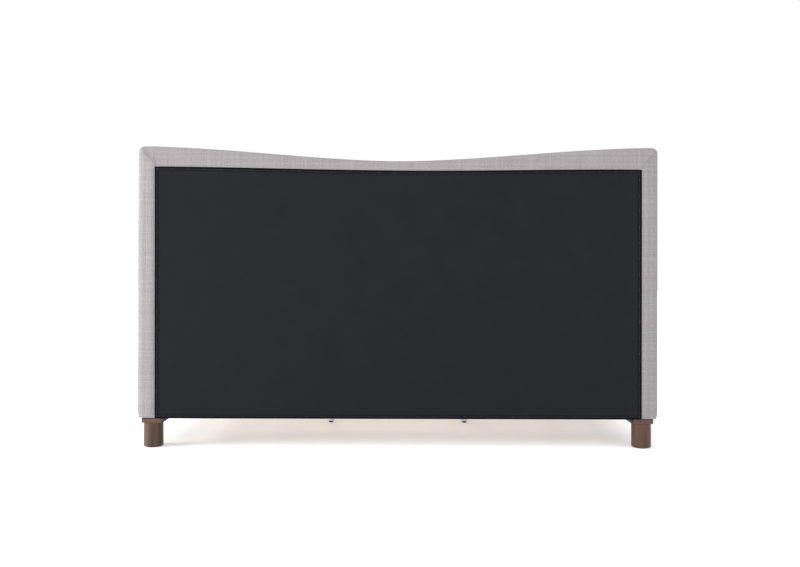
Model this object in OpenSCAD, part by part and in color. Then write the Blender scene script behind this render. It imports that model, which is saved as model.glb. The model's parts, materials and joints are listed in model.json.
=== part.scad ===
// Daybed: an upholstered back, two sloping arms, a front rail, a slatted deck and turned wooden legs.
// Millimetres. +Z is up, the sitter faces -Y, and the back runs along X at the +Y side.
// The origin is on the floor, at the middle of the footprint.

/* [Overall] */
// Width across the back
overall_w = 2040; // [1700:10:2450]
// Depth from the arm fronts to the dust cover
overall_d = 1100; // [900:10:1330]
// Height of the back at its corners
overall_h = 1180; // [980:10:1420]
// Height of the underside of the upholstery
under_h = 115; // [96:1:140]

/* [Back] */
// Thickness of the upholstered back
back_t = 84; // [80:1:110]
// How far the top edge dips in the middle
back_dip = 55; // [10:1:90]
// Radius of the upper corners, seen from behind
back_corner_r = 24; // [18:1:40]
// Depth of the frame timbers
frame_d = 40; // [30:1:48]
// Width of the end posts
post_w = 90; // [75:1:120]
// Height of the top rail at the middle of the dip
top_rail_h = 70; // [60:1:100]
// Height of the bottom rail
bottom_rail_h = 70; // [50:1:100]
// Width of the two stiles
stile_w = 45; // [30:1:70]
// Distance of each stile from the middle
stile_x = 340; // [250:10:450]
// Thickness of the plywood behind the foam
board_t = 5; // [3:0.5:9]

/* [Upholstery] */
// Thickness of the woven cover
cover_t = 1.5; // [1:0.1:2.5]
// Foam between the cover and the ends of the back frame
end_pad = 8.5; // [5:0.5:14]
// Foam over the top rail
top_pad = 10.5; // [6:0.5:14]
// Wadding under the cover on the rear border
rear_pad = 6; // [3:0.5:9]

/* [Dust cover] */
// Thickness of the black cloth
dust_t = 1; // [0.6:0.1:2]
// Width of the grey border at each side of it
side_border = 65; // [55:1:75]
// Width of the grey border above its corners
top_border = 81; // [70:1:95]
// How far its top edge dips in the middle
dust_dip = 12; // [0:1:20]
// Gap between its lower edge and the underside
dust_lift = 1; // [0:0.5:5]
// How far it laps over the cover
dust_lap = 25; // [12:1:35]

/* [Arms] */
// Thickness of each upholstered arm
arm_t = 58; // [50:1:80]
// Thickness of the plywood panel in each arm
arm_panel_t = 18; // [12:1:20]
// Foam outside the panel
arm_outer_pad = 7; // [4:0.5:12]
// Foam over the panel's edges
arm_edge_pad = 10.5; // [6:0.5:14]
// Height of the arm at the front
arm_front_h = 620; // [520:10:760]
// How far the rear of the arm stays below the back's corner
arm_rear_drop = 60; // [20:5:200]
// Length of the level front of the arm
arm_flat_l = 150; // [100:10:250]
// Radius of the upper front corner
arm_nose_r = 55; // [30:1:90]

/* [Front rail] */
// Thickness of the upholstered rail
rail_t = 38; // [32:1:50]
// Height of the upholstered rail
rail_h = 210; // [180:1:240]
// How far it stands behind the arm fronts
rail_setback = 5; // [0:1:15]
// Foam on its front face
rail_pad = 8; // [4:0.5:10]

/* [Deck] */
// Height of the top of the slats
deck_h = 270; // [255:1:300]
// Number of slats
slat_count = 12; // [8:1:12]
// Width of a slat
slat_w = 78; // [60:1:95]
// Thickness of a slat
slat_t = 19; // [15:1:23]
// Gap at each end of a slat
slat_gap = 3; // [1:0.5:6]
// Width of each ledger under the slat ends
ledger_w = 20; // [15:1:30]
// Height of each ledger
ledger_h = 30; // [20:1:35]
// Height of the timber that the hardware bolts to, in the arms and the back
base_rail_h = 150; // [140:1:165]
// Width of the centre beam
beam_w = 38; // [30:1:50]
// Height of the centre beam
beam_h = 60; // [45:1:65]
// Width of the webbing that links the slats
strap_w = 25; // [15:1:40]
// Thickness of the webbing
strap_t = 1.2; // [0.8:0.1:2]
// Distance of each strap from the middle of the beam
strap_y = 300; // [150:10:340]

/* [Legs] */
// Diameter of the turned legs
leg_d = 76; // [64:1:80]
// Distance from the side of the back to a rear leg's axis
leg_inset = 57; // [52:1:66]
// Gap between the rear face of the back and the rear plates
rear_leg_gap = 4; // [2:1:8]
// Distance from the inside of an arm to a front leg's axis
front_leg_inset = 22; // [18:1:30]
// Distance from the arm fronts to a front leg's axis
front_leg_y = 62; // [58:1:75]
// Width of the plate on top of a leg
plate_w = 84; // [70:1:90]
// Depth of the plate
plate_d = 76; // [70:1:80]
// Thickness of the plate
plate_t = 18; // [12:1:25]
// How far the plate is moved inwards from the leg's axis
plate_shift = 3; // [0:1:8]
// Radius of the plate's corners
plate_r = 8; // [4:1:15]
// Diameter of the glide under a leg
glide_d = 60; // [40:1:62]
// Thickness of the glide
glide_t = 3; // [2:0.5:5]

/* [Centre supports] */
// Distance of each support from the middle
support_x = 306; // [200:1:420]
// Outer diameter of the steel tube
tube_d = 34; // [30:1:38]
// Wall of the steel tube
tube_wall = 2; // [1.5:0.5:3]
// Length of the threaded insert in the tube
insert_l = 24; // [20:1:30]
// Diameter of the foot's stem
stem_d = 10; // [8:1:12]
// Radial clearance of the stem in the insert
stem_clearance = 0.05; // [0.02:0.01:0.1]
// Gap between the foot and the tube, which is how far the foot can be raised
foot_gap = 10; // [8:1:14]
// Height of the metal foot above its pad
foot_h = 20; // [16:1:24]
// Diameter of the rubber pad
pad_d = 20; // [16:1:26]
// Height of the rubber pad
pad_h = 6; // [4:1:8]

/* [Hardware] */
// Thickness of the steel brackets, hangers and flanges
plate_steel_t = 3; // [2:0.5:4]
// Diameter of the bolts
bolt_d = 8; // [6:1:8]
// Thickness of a bolt's head
bolt_head_h = 5; // [4:0.5:6]
// Length of a bolt through a bracket
bolt_l = 32; // [26:1:32]
// Length of a bolt through a corner block
long_bolt_l = 80; // [72:1:82]
// Side of the square corner blocks behind the front rail
block_w = 60; // [50:1:66]
// Length of each arm of a corner bracket
bracket_w = 60; // [50:1:70]
// Gap above and below a corner bracket
bracket_gap = 11; // [6:1:16]

/* [Hidden] */
CURVE_STEPS = 40;
CORNER_STEPS = 8;
$fn = 64;
SIDES = [["left", -1], ["right", 1]];

// Planes of the back, from behind
rear_y = overall_d / 2;
cover_rear_y = rear_y - dust_t;
frame_rear_y = cover_rear_y - cover_t - rear_pad;
frame_front_y = frame_rear_y - frame_d;
board_front_y = frame_front_y - board_t;
back_front_y = rear_y - back_t;
base_z = under_h + cover_t;
base_top_z = base_z + base_rail_h;

// Back outlines
back_half_w = overall_w / 2;
frame_inset = cover_t + end_pad;
frame_top_inset = cover_t + top_pad;
top_rail_z = overall_h - back_dip - frame_top_inset - top_rail_h;
dip_half_w = back_half_w - 2 * back_corner_r;
dust_half_w = back_half_w - side_border;

// Planes of the arms, given for the right one
arm_inner_x = back_half_w - arm_t;
arm_front_y = -overall_d / 2;
arm_panel_x = back_half_w - cover_t - arm_outer_pad - arm_panel_t;
arm_rear_h = overall_h - arm_rear_drop;

// Deck
rail_front_y = arm_front_y + rail_setback;
rail_back_y = rail_front_y + rail_t;
slat_z = deck_h - slat_t;
ledger_z = slat_z - ledger_h;
beam_y = (rail_back_y + back_front_y) / 2;
beam_z = slat_z - beam_h;
bay_w = 2 * arm_inner_x;
slat_pitch = bay_w / slat_count;

// Legs
plate_z = under_h - plate_t;
rear_leg = [back_half_w - leg_inset, rear_y - rear_leg_gap - plate_d / 2];
front_leg = [arm_inner_x - front_leg_inset, arm_front_y + front_leg_y];
leg_bolt_up = 50;
leg_bolt_down = 40;

// Supports
foot_top_z = pad_h + foot_h;
tube_z = foot_top_z + foot_gap;
flange_z = beam_z - plate_steel_t;
stem_top_z = tube_z + insert_l + 10;
flange_l = 90;

// Bolt heights
block_h = ledger_z - under_h;
bracket_z = under_h + bracket_gap;
bracket_h = block_h - 2 * bracket_gap;
bracket_bolts_z = [bracket_z + bracket_h / 4, bracket_z + bracket_h * 3 / 4];
block_arm_bolts_z = [under_h + block_h * 0.28, under_h + block_h * 0.68];
block_rail_bolts_z = [under_h + block_h * 0.48, under_h + block_h * 0.88];
hanger_w = beam_w + 60;
hanger_l = 45;
hanger_bolt_z = beam_z + beam_h / 2;

SLATS = [for (i = [1:slat_count]) str("slat_", i < 10 ? "0" : "", i)];
LEGS = [
    ["rear_left_leg", -1, 1], ["rear_right_leg", 1, 1],
    ["front_left_leg", -1, -1], ["front_right_leg", 1, -1]
];

// A smooth fall from 1 at t = 0 to 0 at t = 1
function ease(t) = (1 + cos(180 * min(1, max(0, t)))) / 2;
// Height of the back's top edge
function back_top(x) = overall_h - back_dip * ease(abs(x) / dip_half_w);
// Height of the dust cover's top edge
function dust_top(x) = overall_h - top_border - dust_dip * ease(abs(x) / dust_half_w);
// Height of an arm's top edge, level at the front and rising to the back
function arm_top(y) = let (run = back_front_y - arm_front_y - arm_flat_l)
    arm_front_h + (arm_rear_h - arm_front_h) * ease((back_front_y - y) / run);
// Points of a quarter circle about c, from angle a, turning by 90 degrees
function quarter(c, r, a) =
    [for (i = [0:CORNER_STEPS]) c + r * [cos(a + 90 * i / CORNER_STEPS), sin(a + 90 * i / CORNER_STEPS)]];
// Outline of the back in X and Z, drawn in by side and top, from the height bottom up
function back_outline(side, top, bottom) =
    let (w = back_half_w - side, r = max(1, back_corner_r - side), z = overall_h - top - r, n = CURVE_STEPS)
    concat(
        [[-w, bottom], [w, bottom]],
        quarter([w - r, z], r, 0),
        [for (i = [1:n - 1]) let (x = (w - r) * (1 - 2 * i / n)) [x, back_top(x) - top]],
        quarter([r - w, z], r, 90)
    );
// Outline of an arm in Y and Z, drawn in by e at the front, rear and top, from the height bottom up
function arm_outline(e, bottom) =
    let (y0 = arm_front_y + e, y1 = back_front_y - e, r = arm_nose_r - e, n = CURVE_STEPS)
    concat(
        [[y0, bottom], [y1, bottom]],
        [for (i = [0:n]) let (y = y1 + (y0 + r - y1) * i / n) [y, arm_top(y) - e]],
        [for (p = quarter([y0 + r, arm_front_h - e - r], r, 90)) if (p.x < y0 + r - 0.01) p]
    );

// A prism between two Y planes, from a shape drawn in X and Z
module slab_y(y0, y1) {
    translate([0, y1, 0]) rotate([90, 0, 0]) linear_extrude(y1 - y0) children();
}
// A prism between two X planes, from a shape drawn in Y and Z
module slab_x(x0, x1) {
    translate([x0, 0, 0]) rotate([90, 0, 90]) linear_extrude(x1 - x0) children();
}
// A block between two corners
module block(a, b) {
    translate(a) cube(b - a);
}
// What is drawn at the right, or its mirror image at the left
module at_side(side) {
    mirror([side < 0 ? 1 : 0, 0, 0]) children();
}
module at_both_sides() {
    for (s = SIDES) at_side(s[1]) children();
}

// Bolt lying along +X, its head's underside at the origin, or only its shank, to drill with
module bolt(l, drill = false) {
    rotate([0, 90, 0]) cylinder(d = bolt_d, h = l);
    if (!drill)
        translate([-bolt_head_h, 0, 0]) rotate([0, 90, 0])
            cylinder(d = 1.7 * bolt_d, h = bolt_head_h, $fn = 6);
}
module arm_bolts_right(drill = false) {
    steel_x = arm_inner_x - plate_steel_t;
    for (z = bracket_bolts_z) translate([steel_x, back_front_y - bracket_w * 0.6, z]) bolt(bolt_l, drill);
    for (s = [-1, 1])
        translate([steel_x, beam_y + s * (hanger_w / 2 - 12), hanger_bolt_z]) bolt(bolt_l, drill);
    for (z = block_arm_bolts_z)
        translate([arm_inner_x - block_w, rail_back_y + block_w * 0.75, z]) bolt(long_bolt_l, drill);
}
module back_bolts_right(drill = false) {
    for (z = bracket_bolts_z)
        translate([arm_inner_x - bracket_w * 0.6, back_front_y - plate_steel_t, z]) rotate([0, 0, 90])
            bolt(bolt_l, drill);
}
module rail_bolts_right(drill = false) {
    for (z = block_rail_bolts_z)
        translate([arm_inner_x - block_w * 0.75, rail_back_y + block_w, z]) rotate([0, 0, -90])
            bolt(long_bolt_l, drill);
}
module flange_bolts_right(drill = false) {
    for (s = [-1, 1]) translate([support_x + s * (flange_l / 2 - 12), beam_y, flange_z]) rotate([0, -90, 0])
        bolt(bolt_l, drill);
}
module leg_bolt_at(p) {
    translate([p.x, p.y, plate_z - leg_bolt_down])
        cylinder(d = bolt_d, h = leg_bolt_down + plate_t + leg_bolt_up);
}

// Back
module back_post(side) {
    color("burlywood") difference() {
        at_side(side) block(
            [back_half_w - frame_inset - post_w, frame_front_y, base_z],
            [back_half_w - frame_inset, frame_rear_y, top_rail_z]
        );
        at_side(side) leg_bolt_at(rear_leg);
    }
}
module back_top_rail() {
    color("burlywood") slab_y(frame_front_y, frame_rear_y)
        polygon(back_outline(frame_inset, frame_top_inset, top_rail_z));
}
module back_bottom_rail() {
    w = back_half_w - frame_inset - post_w;
    color("burlywood") block([-w, frame_front_y, base_z], [w, frame_rear_y, base_z + bottom_rail_h]);
}
module back_stile(side) {
    color("burlywood") at_side(side) block(
        [stile_x - stile_w / 2, frame_front_y, base_z + bottom_rail_h],
        [stile_x + stile_w / 2, frame_rear_y, top_rail_z]
    );
}
module back_board() {
    color("tan") slab_y(board_front_y, frame_front_y)
        polygon(back_outline(frame_inset, frame_top_inset, base_top_z));
}
module back_seat_rail_space() {
    w = back_half_w - frame_inset;
    block([-w, back_front_y + cover_t, base_z], [w, frame_front_y, base_top_z]);
}
module back_seat_rail() {
    color("burlywood") difference() {
        back_seat_rail_space();
        at_both_sides() back_bolts_right(true);
    }
}
// The opening in the rear border that the dust cover closes
module rear_window(y0, y1) {
    w = dust_half_w - dust_lap;
    n = CURVE_STEPS;
    slab_y(y0, y1) polygon(concat(
        [[-w, under_h + dust_lap], [w, under_h + dust_lap]],
        [for (i = [0:n]) let (x = w * (1 - 2 * i / n)) [x, dust_top(x) - dust_lap]]
    ));
}
module back_foam() {
    color("khaki") difference() {
        slab_y(back_front_y + cover_t, cover_rear_y - cover_t)
            polygon(back_outline(cover_t, cover_t, base_z));
        slab_y(board_front_y, frame_rear_y) polygon(back_outline(frame_inset, frame_top_inset, base_z - 1));
        back_seat_rail_space();
        rear_window(frame_rear_y - 1, rear_y);
    }
}
module back_cover() {
    color("silver") difference() {
        slab_y(back_front_y, cover_rear_y) polygon(back_outline(0, 0, under_h));
        slab_y(back_front_y + cover_t, cover_rear_y - cover_t)
            polygon(back_outline(cover_t, cover_t, base_z));
        rear_window(frame_rear_y - 1, rear_y);
        at_both_sides() leg_bolt_at(rear_leg);
        at_both_sides() back_bolts_right(true);
    }
}
module back_dust_cover() {
    n = CURVE_STEPS;
    color("dimgray") slab_y(cover_rear_y, rear_y) polygon(concat(
        [[-dust_half_w, under_h + dust_lift], [dust_half_w, under_h + dust_lift]],
        [for (i = [0:n]) let (x = dust_half_w * (1 - 2 * i / n)) [x, dust_top(x)]]
    ));
}

// Arms
module arm_panel_space() {
    slab_x(arm_panel_x, arm_panel_x + arm_panel_t) polygon(arm_outline(cover_t + arm_edge_pad, base_z));
}
module arm_base_rail_space() {
    block(
        [arm_inner_x + cover_t, arm_front_y + cover_t + arm_edge_pad, base_z],
        [arm_panel_x, back_front_y - cover_t - arm_edge_pad, base_top_z]
    );
}
module arm_panel(side) {
    color("tan") at_side(side) difference() {
        arm_panel_space();
        arm_bolts_right(true);
    }
}
module arm_base_rail(side) {
    color("burlywood") at_side(side) difference() {
        arm_base_rail_space();
        arm_bolts_right(true);
    }
}
module arm_foam(side) {
    color("khaki") at_side(side) difference() {
        slab_x(arm_inner_x + cover_t, back_half_w - cover_t) polygon(arm_outline(cover_t, base_z));
        slab_x(arm_panel_x, arm_panel_x + arm_panel_t)
            polygon(arm_outline(cover_t + arm_edge_pad, base_z - 1));
        translate([0, 0, -1]) arm_base_rail_space();
        arm_base_rail_space();
    }
}
module arm_cover(side) {
    color("silver") at_side(side) difference() {
        slab_x(arm_inner_x, back_half_w) polygon(arm_outline(0, under_h));
        slab_x(arm_inner_x + cover_t, back_half_w - cover_t) polygon(arm_outline(cover_t, base_z));
        arm_bolts_right(true);
    }
}

// Front rail
module front_rail() {
    w = arm_inner_x - cover_t;
    color("burlywood") difference() {
        block(
            [-w, rail_front_y + cover_t + rail_pad, base_z],
            [w, rail_back_y - cover_t, under_h + rail_h - cover_t]
        );
        at_both_sides() rail_bolts_right(true);
    }
}
module front_rail_foam() {
    w = arm_inner_x - cover_t;
    color("khaki") block(
        [-w, rail_front_y + cover_t, base_z],
        [w, rail_front_y + cover_t + rail_pad, under_h + rail_h - cover_t]
    );
}
module front_rail_cover() {
    w = arm_inner_x;
    color("silver") difference() {
        block([-w, rail_front_y, under_h], [w, rail_back_y, under_h + rail_h]);
        block(
            [cover_t - w, rail_front_y + cover_t, base_z],
            [w - cover_t, rail_back_y - cover_t, under_h + rail_h - cover_t]
        );
        at_both_sides() rail_bolts_right(true);
    }
}

// Deck
module front_ledger() {
    color("burlywood")
        block([-arm_inner_x, rail_back_y, ledger_z], [arm_inner_x, rail_back_y + ledger_w, slat_z]);
}
module back_ledger() {
    color("burlywood")
        block([-arm_inner_x, back_front_y - ledger_w, ledger_z], [arm_inner_x, back_front_y, slat_z]);
}
module slat(i) {
    x = -bay_w / 2 + slat_pitch * (i + 0.5);
    color("wheat") block(
        [x - slat_w / 2, rail_back_y + slat_gap, slat_z],
        [x + slat_w / 2, back_front_y - slat_gap, deck_h]
    );
}
module slat_straps() {
    w = bay_w / 2 - (slat_pitch - slat_w) / 2;
    color("dimgray") for (s = [-1, 1]) let (y = beam_y + s * strap_y)
        block([-w, y - strap_w / 2, slat_z - strap_t], [w, y + strap_w / 2, slat_z]);
}
module centre_beam() {
    w = arm_inner_x - plate_steel_t;
    color("burlywood") difference() {
        block([-w, beam_y - beam_w / 2, beam_z], [w, beam_y + beam_w / 2, slat_z]);
        at_both_sides() flange_bolts_right(true);
    }
}
module beam_hangers() {
    t = plate_steel_t;
    color("silver") at_both_sides() difference() {
        union() {
            block(
                [arm_inner_x - t, beam_y - hanger_w / 2, beam_z - t],
                [arm_inner_x, beam_y + hanger_w / 2, slat_z - 8]
            );
            block(
                [arm_inner_x - hanger_l, beam_y - beam_w / 2 - t, beam_z - t],
                [arm_inner_x - t / 2, beam_y + beam_w / 2 + t, slat_z - 8]
            );
        }
        block(
            [arm_inner_x - hanger_l - 1, beam_y - beam_w / 2, beam_z],
            [arm_inner_x - t, beam_y + beam_w / 2, slat_z]
        );
        arm_bolts_right(true);
    }
}

// Centre supports
module support_leg(side) {
    color("silver") at_side(side) difference() {
        union() {
            translate([support_x, beam_y, tube_z]) cylinder(d = tube_d, h = flange_z - tube_z);
            block(
                [support_x - flange_l / 2, beam_y - beam_w / 2, flange_z],
                [support_x + flange_l / 2, beam_y + beam_w / 2, beam_z]
            );
        }
        translate([support_x, beam_y, tube_z - 1])
            cylinder(d = tube_d - 2 * tube_wall, h = flange_z - tube_z + 1);
        flange_bolts_right(true);
    }
}
module support_leg_inserts() {
    color("black") at_both_sides() translate([support_x, beam_y, tube_z]) difference() {
        cylinder(d = tube_d - 2 * tube_wall, h = insert_l);
        translate([0, 0, -1]) cylinder(r = stem_d / 2 + stem_clearance, h = insert_l + 2);
    }
}
// A turned foot: a cone that widens above the pad, a chamfered rim, a hexagon for the spanner and a stem
module levelling_foot(side) {
    r = tube_d / 2;
    hex_h = 5;
    rim_z = foot_top_z - hex_h;
    color("silver") at_side(side) translate([support_x, beam_y, 0]) {
        rotate_extrude() polygon([
            [0, pad_h], [pad_d / 2, pad_h], [r, pad_h + 6], [r, rim_z - 2], [r - 2, rim_z], [0, rim_z]
        ]);
        translate([0, 0, rim_z]) cylinder(d = stem_d * 1.9, h = hex_h, $fn = 6);
        translate([0, 0, foot_top_z]) cylinder(d = stem_d, h = stem_top_z - foot_top_z);
    }
}
module foot_pad(side) {
    color("black") at_side(side) translate([support_x, beam_y, 0]) cylinder(d = pad_d, h = pad_h);
}

// Legs, drawn for the right-hand side, at a point p
module leg_at(p) {
    bevel = 2;
    difference() {
        translate([p.x, p.y, 0]) rotate_extrude() polygon([
            [0, glide_t], [leg_d / 2 - bevel, glide_t], [leg_d / 2, glide_t + bevel],
            [leg_d / 2, plate_z], [0, plate_z]
        ]);
        leg_bolt_at(p);
    }
}
module plate_at(p) {
    w = plate_w / 2 - plate_r;
    d = plate_d / 2 - plate_r;
    difference() {
        translate([p.x - plate_shift, p.y, plate_z]) linear_extrude(plate_t) polygon(concat(
            quarter([w, d], plate_r, 0), quarter([-w, d], plate_r, 90),
            quarter([-w, -d], plate_r, 180), quarter([w, -d], plate_r, 270)
        ));
        leg_bolt_at(p);
    }
}
function leg_place(rear) = rear > 0 ? rear_leg : front_leg;
module leg_glides() {
    color("black") at_both_sides() for (p = [rear_leg, front_leg])
        translate([p.x, p.y, 0]) cylinder(d = glide_d, h = glide_t);
}
module leg_bolts() {
    color("silver") at_both_sides() for (p = [rear_leg, front_leg]) leg_bolt_at(p);
}
// Wedges that brace the inner side of the rear plates
module rear_glue_blocks() {
    x = rear_leg.x - plate_shift - plate_w / 2;
    y = rear_leg.y;
    color("dimgray") at_both_sides() slab_y(y - plate_d / 2, y + plate_d / 2)
        polygon([[x, under_h], [x - plate_t, under_h], [x, plate_z]]);
}
module front_corner_blocks() {
    color("burlywood") at_both_sides() difference() {
        block(
            [arm_inner_x - block_w, rail_back_y, under_h],
            [arm_inner_x, rail_back_y + block_w, under_h + block_h]
        );
        leg_bolt_at(front_leg);
        arm_bolts_right(true);
        rail_bolts_right(true);
    }
}
module rear_corner_brackets() {
    t = plate_steel_t;
    color("silver") at_both_sides() difference() {
        translate([0, 0, bracket_z]) linear_extrude(bracket_h) polygon([
            [arm_inner_x, back_front_y], [arm_inner_x - bracket_w, back_front_y],
            [arm_inner_x - bracket_w, back_front_y - t], [arm_inner_x - t, back_front_y - t],
            [arm_inner_x - t, back_front_y - bracket_w], [arm_inner_x, back_front_y - bracket_w]
        ]);
        arm_bolts_right(true);
        back_bolts_right(true);
    }
}
module frame_bolts() {
    color("silver") at_both_sides() {
        arm_bolts_right();
        back_bolts_right();
        rail_bolts_right();
        flange_bolts_right();
    }
}

back_post(-1);  // back_left_post
back_post(1);  // back_right_post
back_top_rail();
back_bottom_rail();
back_stile(-1);  // back_left_stile
back_stile(1);  // back_right_stile
back_board();
back_seat_rail();
back_foam();
back_cover();
back_dust_cover();
for (s = SIDES) {
    arm_panel(s[1]);
    arm_base_rail(s[1]);
    arm_foam(s[1]);
    arm_cover(s[1]);
    support_leg(s[1]);
    levelling_foot(s[1]);
    foot_pad(s[1]);
}
front_rail();
front_rail_foam();
front_rail_cover();
front_ledger();
back_ledger();
for (i = [0:slat_count - 1])
    slat(i);
slat_straps();
centre_beam();
beam_hangers();
support_leg_inserts();
for (l = LEGS) {
    color("saddlebrown") at_side(l[1]) leg_at(leg_place(l[2]));
    color("saddlebrown") at_side(l[1]) plate_at(leg_place(l[2]));
}
leg_glides();
rear_glue_blocks();
front_corner_blocks();
rear_corner_brackets();
leg_bolts();
frame_bolts();
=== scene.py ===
"""The looks of an upholstered daybed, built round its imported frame.

The back, the arms and the front rail are padded slabs: rings of one outline, closed by two filled
faces, which a short cloth simulation swells between their seams. Legs and feet are turned pieces,
timbers and brackets are eased copies of the frame's own, and what repeats is made by Geometry Nodes.
"""

import sys
import json
import logging
import math
from dataclasses import dataclass
from enum import Enum
from typing import Any, Callable, Optional, Sequence, Union

import bmesh
import bpy
import numpy as np
from mathutils import Euler, Matrix, Vector
from mathutils.bvhtree import BVHTree

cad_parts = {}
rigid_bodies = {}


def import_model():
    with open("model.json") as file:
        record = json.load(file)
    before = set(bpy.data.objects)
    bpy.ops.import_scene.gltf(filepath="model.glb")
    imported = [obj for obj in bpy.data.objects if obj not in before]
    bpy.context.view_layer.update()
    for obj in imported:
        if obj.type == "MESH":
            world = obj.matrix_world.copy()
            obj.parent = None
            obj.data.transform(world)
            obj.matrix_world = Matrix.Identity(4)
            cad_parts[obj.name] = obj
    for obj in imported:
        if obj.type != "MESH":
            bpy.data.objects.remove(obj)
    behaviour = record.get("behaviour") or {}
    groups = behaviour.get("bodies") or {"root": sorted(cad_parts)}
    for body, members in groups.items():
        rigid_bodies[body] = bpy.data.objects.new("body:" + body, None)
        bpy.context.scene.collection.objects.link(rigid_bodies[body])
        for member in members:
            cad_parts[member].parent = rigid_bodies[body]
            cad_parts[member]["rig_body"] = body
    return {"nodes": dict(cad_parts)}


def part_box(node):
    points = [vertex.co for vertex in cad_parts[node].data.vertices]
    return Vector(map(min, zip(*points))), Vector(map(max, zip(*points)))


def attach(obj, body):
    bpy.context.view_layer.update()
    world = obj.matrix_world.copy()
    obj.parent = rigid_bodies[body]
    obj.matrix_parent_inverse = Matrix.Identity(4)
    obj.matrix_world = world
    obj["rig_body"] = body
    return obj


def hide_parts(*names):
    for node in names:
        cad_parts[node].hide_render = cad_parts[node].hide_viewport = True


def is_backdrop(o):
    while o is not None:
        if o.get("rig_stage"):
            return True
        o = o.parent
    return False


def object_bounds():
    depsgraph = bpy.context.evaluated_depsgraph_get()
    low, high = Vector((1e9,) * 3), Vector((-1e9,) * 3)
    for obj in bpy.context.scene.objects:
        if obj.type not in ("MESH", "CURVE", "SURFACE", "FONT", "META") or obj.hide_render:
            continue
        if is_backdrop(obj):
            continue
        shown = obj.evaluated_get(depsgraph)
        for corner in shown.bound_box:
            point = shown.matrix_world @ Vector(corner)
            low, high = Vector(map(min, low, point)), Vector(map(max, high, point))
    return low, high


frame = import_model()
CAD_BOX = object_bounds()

log = logging.getLogger("daybed")

FRAME_BODY = "frame"
SEED = 7

Colour = tuple[float, float, float]
Socket = bpy.types.NodeSocket
Top = Callable[[np.ndarray], np.ndarray]


class Side(Enum):
    """The two ends of the daybed, with the sign of their X."""

    LEFT = -1
    RIGHT = 1

    @property
    def word(self) -> str:
        """The word that starts the names of this side's nodes."""
        return self.name.lower()


class Plane(Enum):
    """The row axes that an outline's two directions and a slab's thickness follow."""

    ALONG_BACK = (0, 2, 1)
    ALONG_ARM = (1, 2, 0)


class Grain(Enum):
    """The row axis that a timber's grain follows."""

    X = 0
    Y = 1
    Z = 2


# Shading


class Graph:
    """Adds nodes to one tree and joins them."""

    def __init__(self, tree: bpy.types.NodeTree) -> None:
        """Keeps the tree that the nodes go into."""
        self.tree = tree

    def add(self, kind: str, inputs: Optional[dict[Union[str, int], Any]] = None,
            **settings: Any) -> bpy.types.Node:
        """Adds a node.

        Args:
            kind: the node's type.
            inputs: what each input socket holds: a value, or the output that it is joined to.
            settings: the node's own properties.

        Returns:
            The new node.
        """
        node = self.tree.nodes.new(kind)
        for name, value in settings.items():
            setattr(node, name, value)
        for key, value in (inputs or {}).items():
            if isinstance(value, bpy.types.NodeSocket):
                self.tree.links.new(value, node.inputs[key])
            else:
                node.inputs[key].default_value = value
        return node

    def join(self, socket: Socket, node: bpy.types.Node, label: str) -> None:
        """Joins a socket to one of a node's inputs."""
        self.tree.links.new(socket, node.inputs[label])

    def math(self, operation: str, a: Any, b: Any = 0.0, c: Any = 0.0) -> Socket:
        """Adds a Math node on up to three values, and returns its result."""
        return self.add("ShaderNodeMath", {0: a, 1: b, 2: c}, operation=operation).outputs[0]

    def blend(self, factor: Any, a: Any, b: Any) -> Socket:
        """Mixes two numbers, from all of a at factor 0 to all of b at 1."""
        return self.add("ShaderNodeMix", {0: factor, 2: a, 3: b}, data_type="FLOAT").outputs[0]

    def colour(self, factor: Any, a: Any, b: Any) -> Socket:
        """Mixes two colours or colour sockets, from all of a at factor 0 to all of b at 1."""
        first, second = (c if isinstance(c, bpy.types.NodeSocket) else (*c, 1.0) for c in (a, b))
        return self.add("ShaderNodeMix", {0: factor, 6: first, 7: second}, data_type="RGBA").outputs[2]

    def noise(self, vector: Socket, scale: float, detail: float = 3.0, roughness: float = 0.55) -> Socket:
        """Adds a Noise Texture, and returns its value, from 0 to 1."""
        inputs = {"Vector": vector, "Scale": scale, "Detail": detail, "Roughness": roughness}
        return self.add("ShaderNodeTexNoise", inputs).outputs["Fac"]

    def stretch(self, vector: Socket, scale: Sequence[float]) -> Socket:
        """Scales a vector along its three axes."""
        return self.add("ShaderNodeMapping", {"Vector": vector, "Scale": tuple(scale)}).outputs[0]


def set_sockets(node: bpy.types.Node, values: dict[str, Any]) -> None:
    """Sets a node's own input sockets by name."""
    for label, value in values.items():
        node.inputs[label].default_value = value


class Effect:
    """A shader node group with named inputs and outputs, built once and used by several finishes."""

    made: dict[str, "Effect"] = {}

    def __init__(self, name: str, inputs: dict[str, Any], outputs: Sequence[str]) -> None:
        """Makes the group's sockets.

        Args:
            name: the group's name.
            inputs: each input's name and its value, where None stands for a vector.
            outputs: the names of the outputs, each a number.
        """
        self.tree = bpy.data.node_groups.new(name, "ShaderNodeTree")
        for label, value in inputs.items():
            kind = "NodeSocketVector" if value is None else "NodeSocketFloat"
            socket = self.tree.interface.new_socket(name=label, in_out="INPUT", socket_type=kind)
            if value is not None:
                socket.default_value = value
        for label in outputs:
            self.tree.interface.new_socket(name=label, in_out="OUTPUT", socket_type="NodeSocketFloat")
        self.graph = Graph(self.tree)
        self.given = self.tree.nodes.new("NodeGroupInput").outputs
        self.result = self.tree.nodes.new("NodeGroupOutput").inputs

    def put_out(self, label: str, socket: Socket) -> None:
        """Joins a socket to one of the group's outputs."""
        self.tree.links.new(socket, self.result[label])

    def use(self, graph: Graph, **inputs: Any) -> dict[str, Socket]:
        """Places the group in a finish's graph, and returns its outputs by name."""
        node = graph.add("ShaderNodeGroup", inputs, node_tree=self.tree)
        return {socket.name: socket for socket in node.outputs}


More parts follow.
